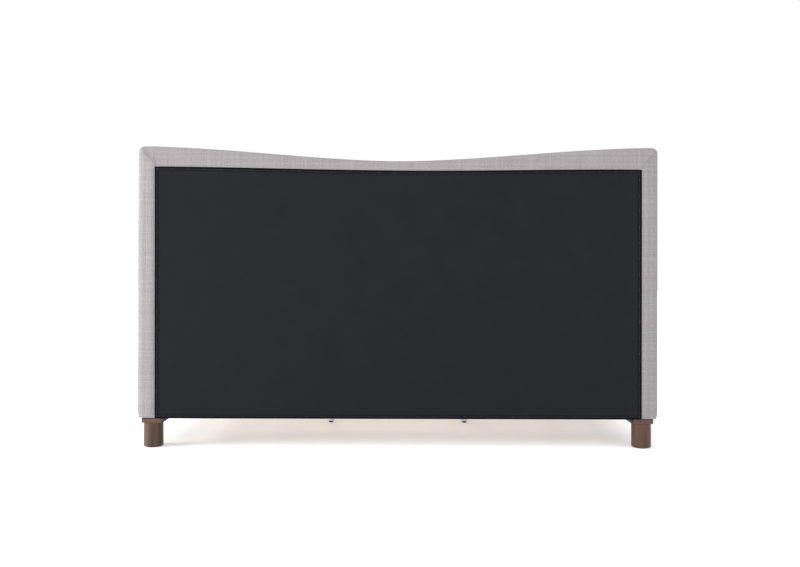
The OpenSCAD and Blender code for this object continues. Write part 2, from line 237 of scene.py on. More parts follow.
def effect(name: str, build: Callable[[], Effect]) -> Effect:
    """Returns an effect, which is built the first time it is asked for.

    Args:
        name: the effect's name.
        build: what makes it.

    Returns:
        The effect.
    """
    if name not in Effect.made:
        Effect.made[name] = build()
    return Effect.made[name]


def build_weave() -> Effect:
    """A plain weave: threads along U and V that pass over and under each other.

    Returns:
        The effect. Tone is each thread's own shade, and Height its round back.
    """
    made = Effect("weave", {"Vector": None, "Threads": 500.0, "Slub": 0.5}, ["Tone", "Height"])
    g = made.graph
    inputs = {0: made.given["Vector"], 3: made.given["Threads"]}
    scaled = g.add("ShaderNodeVectorMath", inputs, operation="SCALE")
    part = g.add("ShaderNodeSeparateXYZ", {0: scaled.outputs[0]}).outputs
    column, row = g.math("FLOOR", part["X"]), g.math("FLOOR", part["Y"])
    over = g.math("FLOORED_MODULO", g.math("ADD", column, row), 2.0)
    backs = [g.math("ABSOLUTE", g.math("SINE", g.math("MULTIPLY", part[a], math.pi))) for a in ("X", "Y")]
    made.put_out("Height", g.blend(over, backs[0], backs[1]))
    shades = []
    for line, across in ((column, (1.0, 0.05, 1.0)), (row, (0.05, 1.0, 1.0))):
        own = g.add("ShaderNodeTexWhiteNoise", {"W": line}, noise_dimensions="1D").outputs["Value"]
        slub = g.noise(g.stretch(scaled.outputs[0], across), 0.6, 2.0)
        shades.append(g.blend(made.given["Slub"], own, slub))
    made.put_out("Tone", g.blend(over, shades[0], shades[1]))
    return made


def build_melange() -> Effect:
    """The uneven shade of yarn spun from light and dark fibre.

    Returns:
        The effect. Tone is patchy at three sizes, with short streaks along both threads.
    """
    made = Effect("melange", {"Vector": None, "Scale": 90.0}, ["Tone", "Cloud"])
    g = made.graph
    inputs = {0: made.given["Vector"], 3: made.given["Scale"]}
    scaled = g.add("ShaderNodeVectorMath", inputs, operation="SCALE")
    along = g.noise(g.stretch(scaled.outputs[0], (1.0, 2.6, 1.0)), 1.9, 3.0, 0.7)
    across = g.noise(g.stretch(scaled.outputs[0], (2.6, 1.0, 1.0)), 2.3, 3.0, 0.7)
    streaks = g.math("MULTIPLY", g.math("ADD", along, across), 0.5)
    sharper = g.add("ShaderNodeMapRange", {"Value": streaks, "From Min": 0.36, "From Max": 0.64})
    made.put_out("Tone", sharper.outputs["Result"])
    made.put_out("Cloud", g.noise(scaled.outputs[0], 0.09, 2.0))
    return made


def build_grain() -> Effect:
    """Timber grain along the vector's Z: growth rings, pores and fine fibres.

    Returns:
        The effect. Rings and Fibre are shades, and Pores are the dark open ends.
    """
    made = Effect("grain", {"Vector": None, "Rings": 9.0}, ["Rings", "Fibre", "Pores"])
    g = made.graph
    at = made.given["Vector"]
    figure = g.noise(g.stretch(at, (14.0, 14.0, 0.9)), 1.0, 2.0, 0.5)
    ringed = g.math("MULTIPLY", figure, made.given["Rings"])
    bands = g.math("SINE", g.math("MULTIPLY", ringed, 2 * math.pi))
    made.put_out("Rings", g.math("MULTIPLY_ADD", bands, 0.5, 0.5))
    made.put_out("Fibre", g.noise(g.stretch(at, (900.0, 900.0, 18.0)), 1.0, 3.0, 0.6))
    pores = g.noise(g.stretch(at, (1500.0, 1500.0, 60.0)), 1.0, 1.0, 0.5)
    sparse = g.add("ShaderNodeMapRange", {"Value": pores, "From Min": 0.62, "From Max": 0.7})
    made.put_out("Pores", sparse.outputs["Result"])
    return made


def build_wear() -> Effect:
    """Rubbed edges, broken up by noise.

    Returns:
        The effect. Mask is 1 where an edge is rubbed.
    """
    made = Effect("edge_wear", {"Vector": None, "Amount": 0.5}, ["Mask"])
    g = made.graph
    sharp = g.add("ShaderNodeNewGeometry").outputs["Pointiness"]
    inputs = {"Value": sharp, "From Min": 0.52, "From Max": 0.6}
    edge = g.add("ShaderNodeMapRange", inputs).outputs["Result"]
    patchy = g.math("MULTIPLY", edge, g.noise(made.given["Vector"], 160.0, 3.0, 0.7))
    made.put_out("Mask", g.math("MULTIPLY", patchy, made.given["Amount"]))
    return made


def build_specks() -> Effect:
    """Sparse specks of dust or lint.

    Returns:
        The effect. Mask is 1 on a speck.
    """
    made = Effect("specks", {"Vector": None, "Scale": 300.0, "Size": 0.16}, ["Mask"])
    g = made.graph
    inputs = {"Vector": made.given["Vector"], "Scale": made.given["Scale"], "Randomness": 1.0}
    far = g.add("ShaderNodeTexVoronoi", inputs).outputs["Distance"]
    patches = g.noise(made.given["Vector"], 5.0, 2.0)
    near = g.math("LESS_THAN", far, g.math("MULTIPLY", made.given["Size"], patches))
    made.put_out("Mask", near)
    return made


@dataclass(frozen=True)
class Finish:
    """What every finish has: a name, the record's slot, and a roughness."""

    name: str
    slot: str
    roughness: float

    def start(self) -> tuple[bpy.types.Material, Graph, bpy.types.Node]:
        """Makes an empty material with a Principled BSDF.

        Returns:
            The material, its graph and its shader.
        """
        material = bpy.data.materials.new(self.name)
        material.use_nodes = True
        material.node_tree.nodes.clear()
        graph = Graph(material.node_tree)
        shader = graph.add("ShaderNodeBsdfPrincipled", {"Roughness": self.roughness})
        graph.add("ShaderNodeOutputMaterial", {"Surface": shader.outputs[0]})
        return material, graph, shader

    @staticmethod
    def raise_surface(graph: Graph, shader: bpy.types.Node, height: Socket, distance: float) -> None:
        """Joins a height to the shader's normal, where 1 stands for the distance."""
        bump = graph.add("ShaderNodeBump", {"Height": height, "Distance": distance, "Strength": 1.0})
        graph.join(bump.outputs[0], shader, "Normal")

    @staticmethod
    def place(graph: Graph) -> Socket:
        """Returns the Object coordinates, which are the row frame's own."""
        return graph.add("ShaderNodeTexCoord").outputs["Object"]


@dataclass(frozen=True)
class Cloth(Finish):
    """Woven or felted cloth, whose threads follow the piece's UV map in metres."""

    light: Colour = (0.5, 0.5, 0.5)
    dark: Colour = (0.3, 0.3, 0.3)
    threads_per_m: float = 420.0
    melange_scale: float = 90.0
    depth: float = 0.0006
    sheen: float = 0.08
    shine: float = 0.15

    def make(self) -> bpy.types.Material:
        """Builds the material.

        Returns:
            The material.
        """
        material, g, shader = self.start()
        at = g.add("ShaderNodeUVMap", uv_map="cloth").outputs[0]
        weave = effect("weave", build_weave).use(g, Vector=at, Threads=self.threads_per_m)
        melange = effect("melange", build_melange).use(g, Vector=at, Scale=self.melange_scale)
        tone = g.blend(0.45, melange["Tone"], weave["Tone"])
        shade = g.colour(tone, self.dark, self.light)
        # Painted shade: the weave's valleys between threads are darkened toward a third of the dark tone.
        valleys = g.math("MULTIPLY_ADD", weave["Height"], 0.22, 0.78)
        valley_painted_shade = g.colour(valleys, tuple(0.35 * c for c in self.dark), shade)
        cloud = g.add("ShaderNodeMapRange", {"Value": melange["Cloud"], "From Min": 0.3, "From Max": 0.7,
                                             "To Min": 0.97, "To Max": 1.03}).outputs["Result"]
        warmed = g.add("ShaderNodeVectorMath", {0: valley_painted_shade, 3: cloud}, operation="SCALE").outputs[0]
        g.join(warmed, shader, "Base Color")
        set_sockets(shader, {"Specular IOR Level": self.shine, "Sheen Weight": self.sheen,
                             "Sheen Roughness": 0.45})
        height = g.blend(0.35, weave["Height"], melange["Tone"])
        self.raise_surface(g, shader, height, self.depth)
        return material


@dataclass(frozen=True)
class Felt(Finish):
    """Thin bonded cloth with a pressed pattern of dots and stray fibres."""

    light: Colour = (0.0155, 0.0165, 0.0202)
    dark: Colour = (0.0078, 0.0082, 0.0102)
    lint: Colour = (0.07, 0.07, 0.075)

    def make(self) -> bpy.types.Material:
        """Builds the material.

        Returns:
            The material.
        """
        material, g, shader = self.start()
        at = g.add("ShaderNodeUVMap", uv_map="cloth").outputs[0]
        fibres = g.noise(g.stretch(at, (3.0, 1.0, 1.0)), 700.0, 3.0, 0.7)
        patches = g.noise(at, 9.0, 3.0, 0.6)
        pressed = {"Vector": at, "Scale": 420.0, "Randomness": 0.15}
        dots = g.add("ShaderNodeTexVoronoi", pressed).outputs["Distance"]
        shade = g.colour(g.blend(0.5, fibres, patches), self.dark, self.light)
        lint = effect("specks", build_specks).use(g, Vector=at, Scale=260.0, Size=0.14)["Mask"]
        g.join(g.colour(g.math("MULTIPLY", lint, 0.5), shade, self.lint), shader, "Base Color")
        set_sockets(shader, {"Specular IOR Level": 0.1, "Sheen Weight": 0.02})
        self.raise_surface(g, shader, g.blend(0.5, dots, fibres), 0.0003)
        return material


@dataclass(frozen=True)
class Timber(Finish):
    """Timber with growth rings, pores and rubbed edges."""

    light: Colour = (0.6, 0.42, 0.25)
    dark: Colour = (0.42, 0.27, 0.14)
    rubbed: Colour = (0.7, 0.55, 0.36)
    grain: Grain = Grain.X
    rings: float = 9.0
    coat: float = 0.0
    shine: float = 0.35
    wear: float = 0.4
    relief: float = 0.0003

    def make(self) -> bpy.types.Material:
        """Builds the material.

        Returns:
            The material.
        """
        material, g, shader = self.start()
        at = self.place(g)
        part = g.add("ShaderNodeSeparateXYZ", {0: at}).outputs
        order = {Grain.X: (1, 2, 0), Grain.Y: (0, 2, 1), Grain.Z: (0, 1, 2)}[self.grain]
        turned = g.add("ShaderNodeCombineXYZ", {i: part[axis] for i, axis in enumerate(order)}).outputs[0]
        grain = effect("grain", build_grain).use(g, Vector=turned, Rings=self.rings)
        tone = g.blend(0.45, grain["Rings"], grain["Fibre"])
        shade = g.colour(tone, self.dark, self.light)
        open_ends = g.math("MULTIPLY", grain["Pores"], 0.55)
        pored = g.colour(open_ends, shade, tuple(0.35 * c for c in self.dark))
        worn = effect("edge_wear", build_wear).use(g, Vector=at, Amount=self.wear)["Mask"]
        g.join(g.colour(worn, pored, self.rubbed), shader, "Base Color")
        rough = g.blend(grain["Fibre"], self.roughness - 0.06, self.roughness + 0.08)
        g.join(rough, shader, "Roughness")
        set_sockets(shader, {"Specular IOR Level": self.shine, "Coat Weight": self.coat,
                             "Coat Roughness": 0.22})
        self.raise_surface(g, shader, g.math("SUBTRACT", grain["Fibre"], grain["Pores"]), self.relief)
        return material


@dataclass(frozen=True)
class Metal(Finish):
    """Plated steel, brushed lightly along one axis, with rubbed edges and a trace of dust."""

    colour: Colour = (0.75, 0.76, 0.78)
    dull: Colour = (0.42, 0.43, 0.45)
    brushed: Grain = Grain.Z

    def make(self) -> bpy.types.Material:
        """Builds the material.

        Returns:
            The material.
        """
        material, g, shader = self.start()
        at = self.place(g)
        scale = [700.0, 700.0, 700.0]
        scale[self.brushed.value] = 20.0
        streaks = g.noise(g.stretch(at, scale), 1.0, 2.0)
        patches = g.noise(at, 60.0, 4.0, 0.6)
        worn = effect("edge_wear", build_wear).use(g, Vector=at, Amount=0.5)["Mask"]
        base = g.colour(g.math("MULTIPLY", patches, 0.5), self.colour, self.dull)
        g.join(g.colour(worn, base, self.colour), shader, "Base Color")
        shader.inputs["Metallic"].default_value = 1.0
        rough = g.blend(g.blend(0.5, streaks, patches), self.roughness - 0.08, self.roughness + 0.16)
        g.join(rough, shader, "Roughness")
        self.raise_surface(g, shader, streaks, 0.00004)
        return material


@dataclass(frozen=True)
class Moulded(Finish):
    """Moulded plastic, rubber or sprayed paint: a fine texture with dust caught in it."""

    colour: Colour = (0.03, 0.03, 0.03)
    dust: Colour = (0.2, 0.19, 0.18)
    texture_scale: float = 900.0
    depth: float = 0.00008

    def make(self) -> bpy.types.Material:
        """Builds the material.

        Returns:
            The material.
        """
        material, g, shader = self.start()
        at = self.place(g)
        texture = g.noise(at, self.texture_scale, 3.0, 0.6)
        specks = effect("specks", build_specks).use(g, Vector=at, Scale=500.0, Size=0.12)["Mask"]
        worn = effect("edge_wear", build_wear).use(g, Vector=at, Amount=0.35)["Mask"]
        dusty = g.math("MAXIMUM", g.math("MULTIPLY", specks, 0.35), worn)
        g.join(g.colour(dusty, self.colour, self.dust), shader, "Base Color")
        rough = g.blend(texture, self.roughness - 0.08, self.roughness + 0.08)
        g.join(rough, shader, "Roughness")
        self.raise_surface(g, shader, texture, self.depth)
        return material


class Palette:
    """Every finish of the daybed, made once."""

    FINISHES: tuple[Finish, ...] = (
        Cloth("grey_tweed", "woven_cover", 0.92, light=(0.52, 0.498, 0.504), dark=(0.125, 0.118, 0.121)),
        Cloth("strap_webbing", "webbing", 0.85, light=(0.06, 0.06, 0.066), dark=(0.02, 0.02, 0.022),
              threads_per_m=700.0, depth=0.0004, sheen=0.1),
        Felt("black_felt", "dust_cloth", 0.86),
        # Near-black finish: painted shade on the edging strip, and black thread darkened to stand in for
        # the shade in the hem's step.
        Felt("black_tape", "dust_cloth", 0.95, light=(0.002, 0.002, 0.0024), dark=(0.001, 0.001, 0.0012),
             lint=(0.008, 0.008, 0.009)),
        Timber("stained_walnut", "walnut", 0.36, light=(0.098, 0.044, 0.026), dark=(0.03, 0.013, 0.0075),
               rubbed=(0.18, 0.092, 0.056), grain=Grain.Z, rings=5.0, coat=0.07, wear=0.5),
        Timber("stained_walnut_plate", "walnut", 0.38, light=(0.115, 0.053, 0.038),
               dark=(0.045, 0.019, 0.0135), rubbed=(0.2, 0.105, 0.07), rings=5.0, coat=0.08, wear=0.5),
        *(Timber(f"planed_pine_{grain.name.lower()}", "frame_timber", 0.62, light=(0.66, 0.47, 0.28),
                 dark=(0.5, 0.31, 0.16), grain=grain) for grain in Grain),
        Timber("slat_pine", "slat_timber", 0.5, light=(0.72, 0.55, 0.35), dark=(0.57, 0.39, 0.21),
               grain=Grain.Y, rings=11.0, coat=0.1),
        Timber("plywood", "plywood", 0.66, light=(0.62, 0.46, 0.29), dark=(0.48, 0.33, 0.19), rings=3.0),
        Metal("bright_zinc", "zinc_steel", 0.26),
        Metal("staple_wire", "zinc_steel", 0.45, colour=(0.13, 0.13, 0.14), dull=(0.07, 0.07, 0.075)),
        Moulded("black_nylon", "black_plastic", 0.5),
        Moulded("black_rubber", "rubber", 0.78, colour=(0.022, 0.022, 0.023), texture_scale=600.0),
        Moulded("black_paint", "black_block", 0.7, colour=(0.012, 0.012, 0.014), texture_scale=300.0),
        Moulded("seam_thread", "woven_cover", 0.7, colour=(0.36, 0.35, 0.35), dust=(0.5, 0.49, 0.49),
                texture_scale=2500.0),
    )

    def __init__(self) -> None:
        """Makes every finish's material."""
        self.slots = {finish.name: finish.slot for finish in self.FINISHES}
        self.materials = {finish.name: finish.make() for finish in self.FINISHES}

    def dress(self, piece: bpy.types.Object, finish: str) -> None:
        """Gives a new piece its finish.

        Args:
            piece: the piece.
            finish: the finish's name.
        """
        piece.data.materials.clear()
        piece.data.materials.append(self.materials[finish])

    def dress_node(self, node: str, finish: str) -> None:
        """Gives a frame node's object its finish.

        Args:
            node: the node's name.
            finish: the finish's name.
        """
        owner = frame["nodes"][node]
        if not owner.data.uv_layers:
            self.flat_map(owner)
        if owner.material_slots:
            for place in owner.material_slots:
                place.material = self.materials[finish]
        else:
            owner.data.materials.append(self.materials[finish])

    @staticmethod
    def flat_map(owner: bpy.types.Object) -> None:
        """Adds a UV map in metres, laid on each face from the side that it faces.

        Args:
            owner: the object to map.
        """
        mesh = owner.data
        layer = mesh.uv_layers.new(name="cloth")
        for polygon in mesh.polygons:
            facing = max(range(3), key=lambda axis: abs(polygon.normal[axis]))
            first, second = [axis for axis in range(3) if axis != facing]
            for loop in polygon.loop_indices:
                point = mesh.vertices[mesh.loops[loop].vertex_index].co
                layer.data[loop].uv = (point[first], point[second])


# Shapes


@dataclass(frozen=True)
class Corner:
    """A corner that rounds by its own amount along each of its two sides."""

    along: float
    up: float

    def shrunk(self, inset: float, share: float = 1.0) -> "Corner":
        """Makes the corner of the outline drawn in, with a share of the inset on its level side."""
        least = 0.0012
        return Corner(max(self.along - inset, least), max(self.up - inset * share, least))


@dataclass
class Outline:
    """A closed outline with four rounded corners and a shaped top.

    Its points start at the lower corner on the low side, and run along the bottom, up, back and down.
    """

    low: float
    high: float
    bottom: float
    top: Top
    corners: tuple[Corner, Corner, Corner, Corner]
    steps_along: int
    steps_up: int
    arc: int = 4
    bottom_share: float = 1.0

    @property
    def across(self) -> int:
        """The number of steps on the bottom and on the top."""
        return self.steps_along + 2 * self.arc

    @property
    def upward(self) -> int:
        """The number of steps on each upright side."""
        return self.steps_up + 2 * self.arc

    @property
    def count(self) -> int:
        """The number of points."""
        return 2 * (self.across + self.upward)

    def half_arc(self, centre: tuple[float, float], corner: Corner, start: float) -> list[list[float]]:
        """Returns half of a corner from a start in degrees, without its last point."""
        angles = [math.radians(start + 45 * i / self.arc) for i in range(self.arc)]
        return [[centre[0] + corner.along * math.cos(a), centre[1] + corner.up * math.sin(a)]
                for a in angles]

    def at(self, inset: float) -> np.ndarray:
        """The outline drawn in all round.

        Args:
            inset: how far.

        Returns:
            Its points, one a row.
        """
        low, high, bottom = self.low + inset, self.high - inset, self.bottom + inset * self.bottom_share
        shares = (self.bottom_share, self.bottom_share, 1.0, 1.0)
        corners = [corner.shrunk(inset, share) for corner, share in zip(self.corners, shares)]
        ends = self.top(np.array([self.low, self.high])) - inset
        centres = [
            (low + corners[0].along, bottom + corners[0].up),
            (high - corners[1].along, bottom + corners[1].up),
            (high - corners[2].along, ends[1] - corners[2].up),
            (low + corners[3].along, ends[0] - corners[3].up),
        ]
        straights = [
            ((centres[0][0], bottom), (centres[1][0], bottom), self.steps_along),
            ((high, centres[1][1]), (high, centres[2][1]), self.steps_up),
            ((centres[2][0], ends[1]), (centres[3][0], ends[0]), self.steps_along),
            ((low, centres[3][1]), (low, centres[0][1]), self.steps_up),
        ]
        points: list[list[float]] = []
        for k, (start, end, steps) in enumerate(straights):
            after = (k + 1) % 4
            points += self.half_arc(centres[k], corners[k], 225 + 90 * k)
            for i in range(steps):
                t = i / steps
                along = start[0] + (end[0] - start[0]) * t
                up = start[1] + (end[1] - start[1]) * t
                if k == 2:
                    up = float(self.top(np.array([along]))[0]) - inset
                points.append([along, up])
            points += self.half_arc(centres[after], corners[after], 270 + 90 * k)
        return np.array(points)


@dataclass(frozen=True)
class Station:
    """One ring of a slab: how far its outline is drawn in, and its place through the thickness."""

    inset: float
    depth: float


@dataclass(frozen=True)
class Roll:
    """A rounded edge between a face and the band: its reach over the face, and through the band."""

    over: float
    through: float

    def inset(self, depth: float) -> float:
        """Works out how far the edge is drawn in at a depth from its face."""
        left = max(0.0, 1.0 - depth / self.through)
        return self.over * (1.0 - math.sqrt(max(0.0, 1.0 - left**2)))


@dataclass(frozen=True)
class Edge:
    """A slab's edge: two faces, their rolls, and the seams on the band as shares of the thickness."""

    start: float
    end: float
    start_roll: Roll
    end_roll: Roll
    seams: tuple[float, ...] = ()
    groove: float = 0.0028
    groove_half: float = 0.0042

    def inset(self, depth: float) -> float:
        """Works out how far the edge is drawn in at a depth from the first face, without its seams."""
        return self.start_roll.inset(depth) + self.end_roll.inset(abs(self.end - self.start) - depth)

    def stations(self, arc: int = 6, band: int = 3) -> list[Station]:
        """Lists the rings across the edge, first face first.

        Args:
            arc: the number of steps in each roll.
            band: the number of steps on the band.

        Returns:
            The stations.
        """
        thick = abs(self.end - self.start)
        shares = [1 - math.cos(math.pi / 2 * i / arc) for i in range(arc + 1)]
        depths = [self.start_roll.through * share for share in shares]
        depths += [thick - self.end_roll.through * share for share in shares]
        flat = thick - self.start_roll.through - self.end_roll.through
        depths += [self.start_roll.through + flat * i / band for i in range(1, band)]
        extra: dict[float, float] = {}
        for share in self.seams:
            middle, wide = share * thick, self.groove_half
            depths = [depth for depth in depths if abs(depth - middle) > wide * 1.4]
            shape = ((-1.0, 0.0), (-0.5, 0.15), (0.0, 1.0), (0.5, 0.15), (1.0, 0.0))
            extra |= {middle + at * wide: self.groove * deep for at, deep in shape}
        way = math.copysign(1.0, self.end - self.start)
        places = sorted({*depths, *extra})
        return [Station(self.inset(d) + extra.get(d, 0.0), self.start + way * d) for d in places]

    def seam_ring(self, number: int, stations: Sequence[Station]) -> int:
        """Finds the number of the ring at the bottom of a seam."""
        at = self.start + (self.end - self.start) * self.seams[number]
        return min(range(len(stations)), key=lambda k: abs(stations[k].depth - at))


@dataclass(frozen=True)
class Swell:
    """How a padded slab is blown up: pressure, the cloth's slack, and the most that a point may move."""

    pressure: float
    slack: float
    most: float
    frames: int = 16


def at_depth(ring: np.ndarray, depth: float) -> np.ndarray:
    """Gives an outline's points their place through the thickness."""
    return np.column_stack([ring, np.full(len(ring), depth)])


class Slab:
    """A closed body between two faces, made of rings of one outline."""

    def __init__(self, outline: Outline, plane: Plane, profile: Sequence[Station],
                 turn: Optional[int] = None) -> None:
        """Works out the slab's points.

        Args:
            outline: its outline.
            plane: the row axes of the outline and of the thickness.
            profile: its rings, first face first.
            turn: the ring where the first face's cloth meets the last face's, or None for the middle one.
        """
        self.outline, self.plane, self.profile = outline, plane, profile
        steps = [math.hypot(b.inset - a.inset, b.depth - a.depth) for a, b in zip(profile, profile[1:])]
        self.over = [0.0, *np.cumsum(steps).tolist()]
        self.turn = turn if turn is not None else len(profile) // 2
        rings = [at_depth(outline.at(s.inset), s.depth) for s in profile]
        nx, nz, count = outline.across, outline.upward, outline.count
        self.first_grid = self.grid_of(0, len(rings) * count)
        inner = (nx - 1) * (nz - 1)
        self.last_grid = self.grid_of((len(rings) - 1) * count, len(rings) * count + inner)
        faces = [self.fill(rings[0]), self.fill(rings[-1])]
        self.local = np.vstack([*rings, *faces])
        self.is_first, self.is_last = np.zeros(len(self.local), bool), np.zeros(len(self.local), bool)
        self.is_first[len(rings) * count:len(rings) * count + inner] = True
        self.is_last[len(rings) * count + inner:] = True

    def grid_of(self, ring: int, inner: int) -> np.ndarray:
        """The numbers of a face's vertices, edge included.

        Args:
            ring: the number of its ring's first vertex.
            inner: the number of its first inner vertex.

        Returns:
            The numbers, in a grid along and up.
        """
        nx, nz, count = self.outline.across, self.outline.upward, self.outline.count
        grid = np.zeros((nx + 1, nz + 1), int)
        grid[1:nx, 1:nz] = inner + np.arange((nx - 1) * (nz - 1)).reshape(nx - 1, nz - 1)
        grid[:, 0] = ring + np.arange(nx + 1)
        grid[nx, :] = ring + nx + np.arange(nz + 1)
        grid[:, nz] = ring + 2 * nx + nz - np.arange(nx + 1)
        grid[0, :] = ring + (2 * nx + 2 * nz - np.arange(nz + 1)) % count
        return grid

    def fill(self, ring: np.ndarray) -> np.ndarray:
        """Fills a ring with a grid that bends with its four sides.

        Args:
            ring: the ring's points.

        Returns:
            The inner points.
        """
        nx, nz, count = self.outline.across, self.outline.upward, self.outline.count
        low = ring[: nx + 1]
        right = ring[nx : nx + nz + 1]
        top = ring[nx + nz : 2 * nx + nz + 1][::-1]
        left = ring[[(2 * nx + 2 * nz - j) % count for j in range(nz + 1)]]
        u, v = (np.insert(np.cumsum(np.linalg.norm(np.diff(side, axis=0), axis=1)), 0, 0.0)
                for side in (low, left))
        u, v = (u / u[-1])[:, None, None], (v / v[-1])[None, :, None]
        sides = (1 - v) * low[:, None] + v * top[:, None] + (1 - u) * left[None] + u * right[None]
        ends = (1 - u) * (1 - v) * low[0] + u * (1 - v) * low[-1] + (1 - u) * v * top[0] + u * v * top[-1]
        return (sides - ends)[1:nx, 1:nz].reshape(-1, 3)

    def band_map(self, ring: int, number: int, at: int, near_first: bool) -> tuple[float, float]:
        """The UV place of a ring's point, which carries on from the nearer face without a twist.

        Args:
            ring: the ring's number.
            number: the point's number on it.
            at: the number of the step that the face is on.
            near_first: whether the cloth carries on from the first face, and not from the last.

        Returns:
            The place, in metres.
        """
        count, nx, nz = self.outline.count, self.outline.across, self.outline.upward
        own = self.local[ring * count + number]
        edge = self.local[(0 if near_first else (len(self.profile) - 1) * count) + number]
        out = abs(self.over[ring] - (0.0 if near_first else self.over[-1]))
        if at < nx:
            return own[0], edge[1] - out
        if at < nx + nz:
            return edge[0] + out, own[1]
        if at < 2 * nx + nz:
            return own[0], edge[1] + out
        return edge[0] - out, own[1]

    def placed(self, points: np.ndarray) -> np.ndarray:
        """Turns points along, up and through into the row frame.

        Args:
            points: the points, one a row.

        Returns:
            The points in the row frame.
        """
        out = np.zeros_like(points)
        for column, axis in enumerate(self.plane.value):
            out[:, axis] = points[:, column]
        return out

    def path(self, ring: np.ndarray, depth: float) -> np.ndarray:
        """Puts an outline's points at one depth, and turns them into the row frame."""
        return self.placed(at_depth(ring, depth))

    def hoop(self, name: str, section: Sequence[Station]) -> bpy.types.Object:
        """Builds a closed hoop of one section round the outline.

        Args:
            name: the new object's name.
            section: the section's corners, in order.

        Returns:
            The hoop.
        """
        count, corners = self.outline.count, len(section)
        points = np.vstack([self.path(self.outline.at(s.inset), s.depth) for s in section])
        quads = [(k * count + i, k * count + (i + 1) % count, (k + 1) % corners * count + (i + 1) % count,
                  (k + 1) % corners * count + i) for k in range(corners) for i in range(count)]
        piece = solid(name, points.tolist(), quads)
        Palette.flat_map(piece)
        return piece

    def mesh(self, name: str) -> bpy.types.Object:
        """Makes the object, with its faces outward and a UV map in metres.

        Args:
            name: the piece's name.

        Returns:
            The object.
        """
        count, rings = self.outline.count, len(self.profile)
        quads, maps = [], []
        for k in range(rings - 1):
            for i in range(count):
                after = (i + 1) % count
                corners = ((k, i), (k, after), (k + 1, after), (k + 1, i))
                quads.append(tuple(ring * count + n for ring, n in corners))
                maps += [self.band_map(ring, n, i, k < self.turn) for ring, n in corners]
        for grid, turned in ((self.first_grid, True), (self.last_grid, False)):
            for i in range(grid.shape[0] - 1):
                for j in range(grid.shape[1] - 1):
                    quad = (grid[i, j], grid[i + 1, j], grid[i + 1, j + 1], grid[i, j + 1])
                    quad = quad[::-1] if turned else quad
                    quads.append(quad)
                    maps += [tuple(self.local[n, :2]) for n in quad]
        mesh = bpy.data.meshes.new(name)
        mesh.from_pydata(self.placed(self.local).tolist(), [], [tuple(int(n) for n in q) for q in quads])
        layer = mesh.uv_layers.new(name="cloth")
        layer.data.foreach_set("uv", np.array(maps, np.float32).ravel())
        mesh.update()
        piece = link(bpy.data.objects.new(name, mesh))
        outward(piece)
        return piece


def link(piece: bpy.types.Object) -> bpy.types.Object:
    """Adds an object to the scene and returns it."""
    bpy.context.scene.collection.objects.link(piece)
    return piece


def outward(piece: bpy.types.Object) -> None:
    """Turns a closed mesh's faces outward.

    Args:
        piece: the mesh object.
    """
    bm = bmesh.new()
    bm.from_mesh(piece.data)
    bmesh.ops.recalc_face_normals(bm, faces=bm.faces)
    if bm.calc_volume(signed=True) < 0:
        bmesh.ops.reverse_faces(bm, faces=bm.faces)
    bm.to_mesh(piece.data)
    bm.free()


def solid(name: str, points: Sequence[Sequence[float]],
          faces: Sequence[tuple[int, ...]]) -> bpy.types.Object:
    """Makes a closed mesh with its faces outward.

    Args:
        name: the piece's name.
        points: its points.
        faces: the numbers of each face's points.

    Returns:
        The object.
    """
    mesh = bpy.data.meshes.new(name)
    mesh.from_pydata(points, [], faces)
    piece = link(bpy.data.objects.new(name, mesh))
    outward(piece)
    return piece


def smooth(piece: bpy.types.Object, levels: int = 0) -> None:
    """Shades a mesh smooth, with a subdivision if levels is above 0.

    Args:
        piece: the mesh object.
        levels: the number of subdivisions.
    """
    for polygon in piece.data.polygons:
        polygon.use_smooth = True
    if levels:
        modifier = piece.modifiers.new("rounding", "SUBSURF")
        modifier.levels = modifier.render_levels = levels


def points_of(piece: bpy.types.Object) -> np.ndarray:
    """Returns a mesh's points, one a row."""
    flat = np.zeros(len(piece.data.vertices) * 3)
    piece.data.vertices.foreach_get("co", flat)
    return flat.reshape(-1, 3)


def set_points(piece: bpy.types.Object, points: np.ndarray) -> None:
    """Moves a mesh's points to new places, one a row."""
    piece.data.vertices.foreach_set("co", points.ravel())
    piece.data.update()


def blow_up(piece: bpy.types.Object, free: np.ndarray, swell: Swell) -> None:
    """Swells a padded mesh with a cloth simulation, and leaves only the result.

    Args:
        piece: the mesh object.
        free: how freely each point moves, from 0, pinned, to 1.
        swell: the pressure, the slack and the most that a point may move.
    """
    rest = points_of(piece)
    chance = np.random.default_rng(SEED)
    set_points(piece, rest + chance.normal(0.0, 0.0002, rest.shape) * free[:, None])
    group = piece.vertex_groups.new(name="pinned")
    for number, weight in enumerate(1.0 - free):
        group.add([number], float(weight), "REPLACE")
    cloth = piece.modifiers.new("swelling", "CLOTH")
    settings = cloth.settings
    settings.quality = 4
    settings.mass = 0.35
    settings.tension_stiffness = settings.compression_stiffness = 25.0
    settings.shear_stiffness = 12.0
    settings.bending_stiffness = 1.2
    settings.use_pressure = True
    settings.uniform_pressure_force = swell.pressure
    settings.shrink_min = -swell.slack
    settings.vertex_group_mass = group.name
    settings.effector_weights.gravity = 0.0
    cloth.point_cache.frame_start, cloth.point_cache.frame_end = 1, swell.frames
    scene = bpy.context.scene
    for number in range(1, swell.frames + 1):
        scene.frame_set(number)
    solved = piece.evaluated_get(bpy.context.evaluated_depsgraph_get()).to_mesh()
    flat = np.zeros(len(solved.vertices) * 3)
    solved.vertices.foreach_get("co", flat)
    moved = flat.reshape(-1, 3) - rest
    piece.modifiers.remove(cloth)
    scene.frame_set(1)
    far = np.linalg.norm(moved, axis=1, keepdims=True)
    moved *= np.minimum(1.0, swell.most / np.maximum(far, 1e-9)) * np.minimum(free[:, None] * 3.0, 1.0)
    set_points(piece, rest + moved)
    piece.vertex_groups.clear()
    log.info("%s swelled by %.1f mm at most", piece.name, 1000 * float(np.linalg.norm(moved, axis=1).max()))


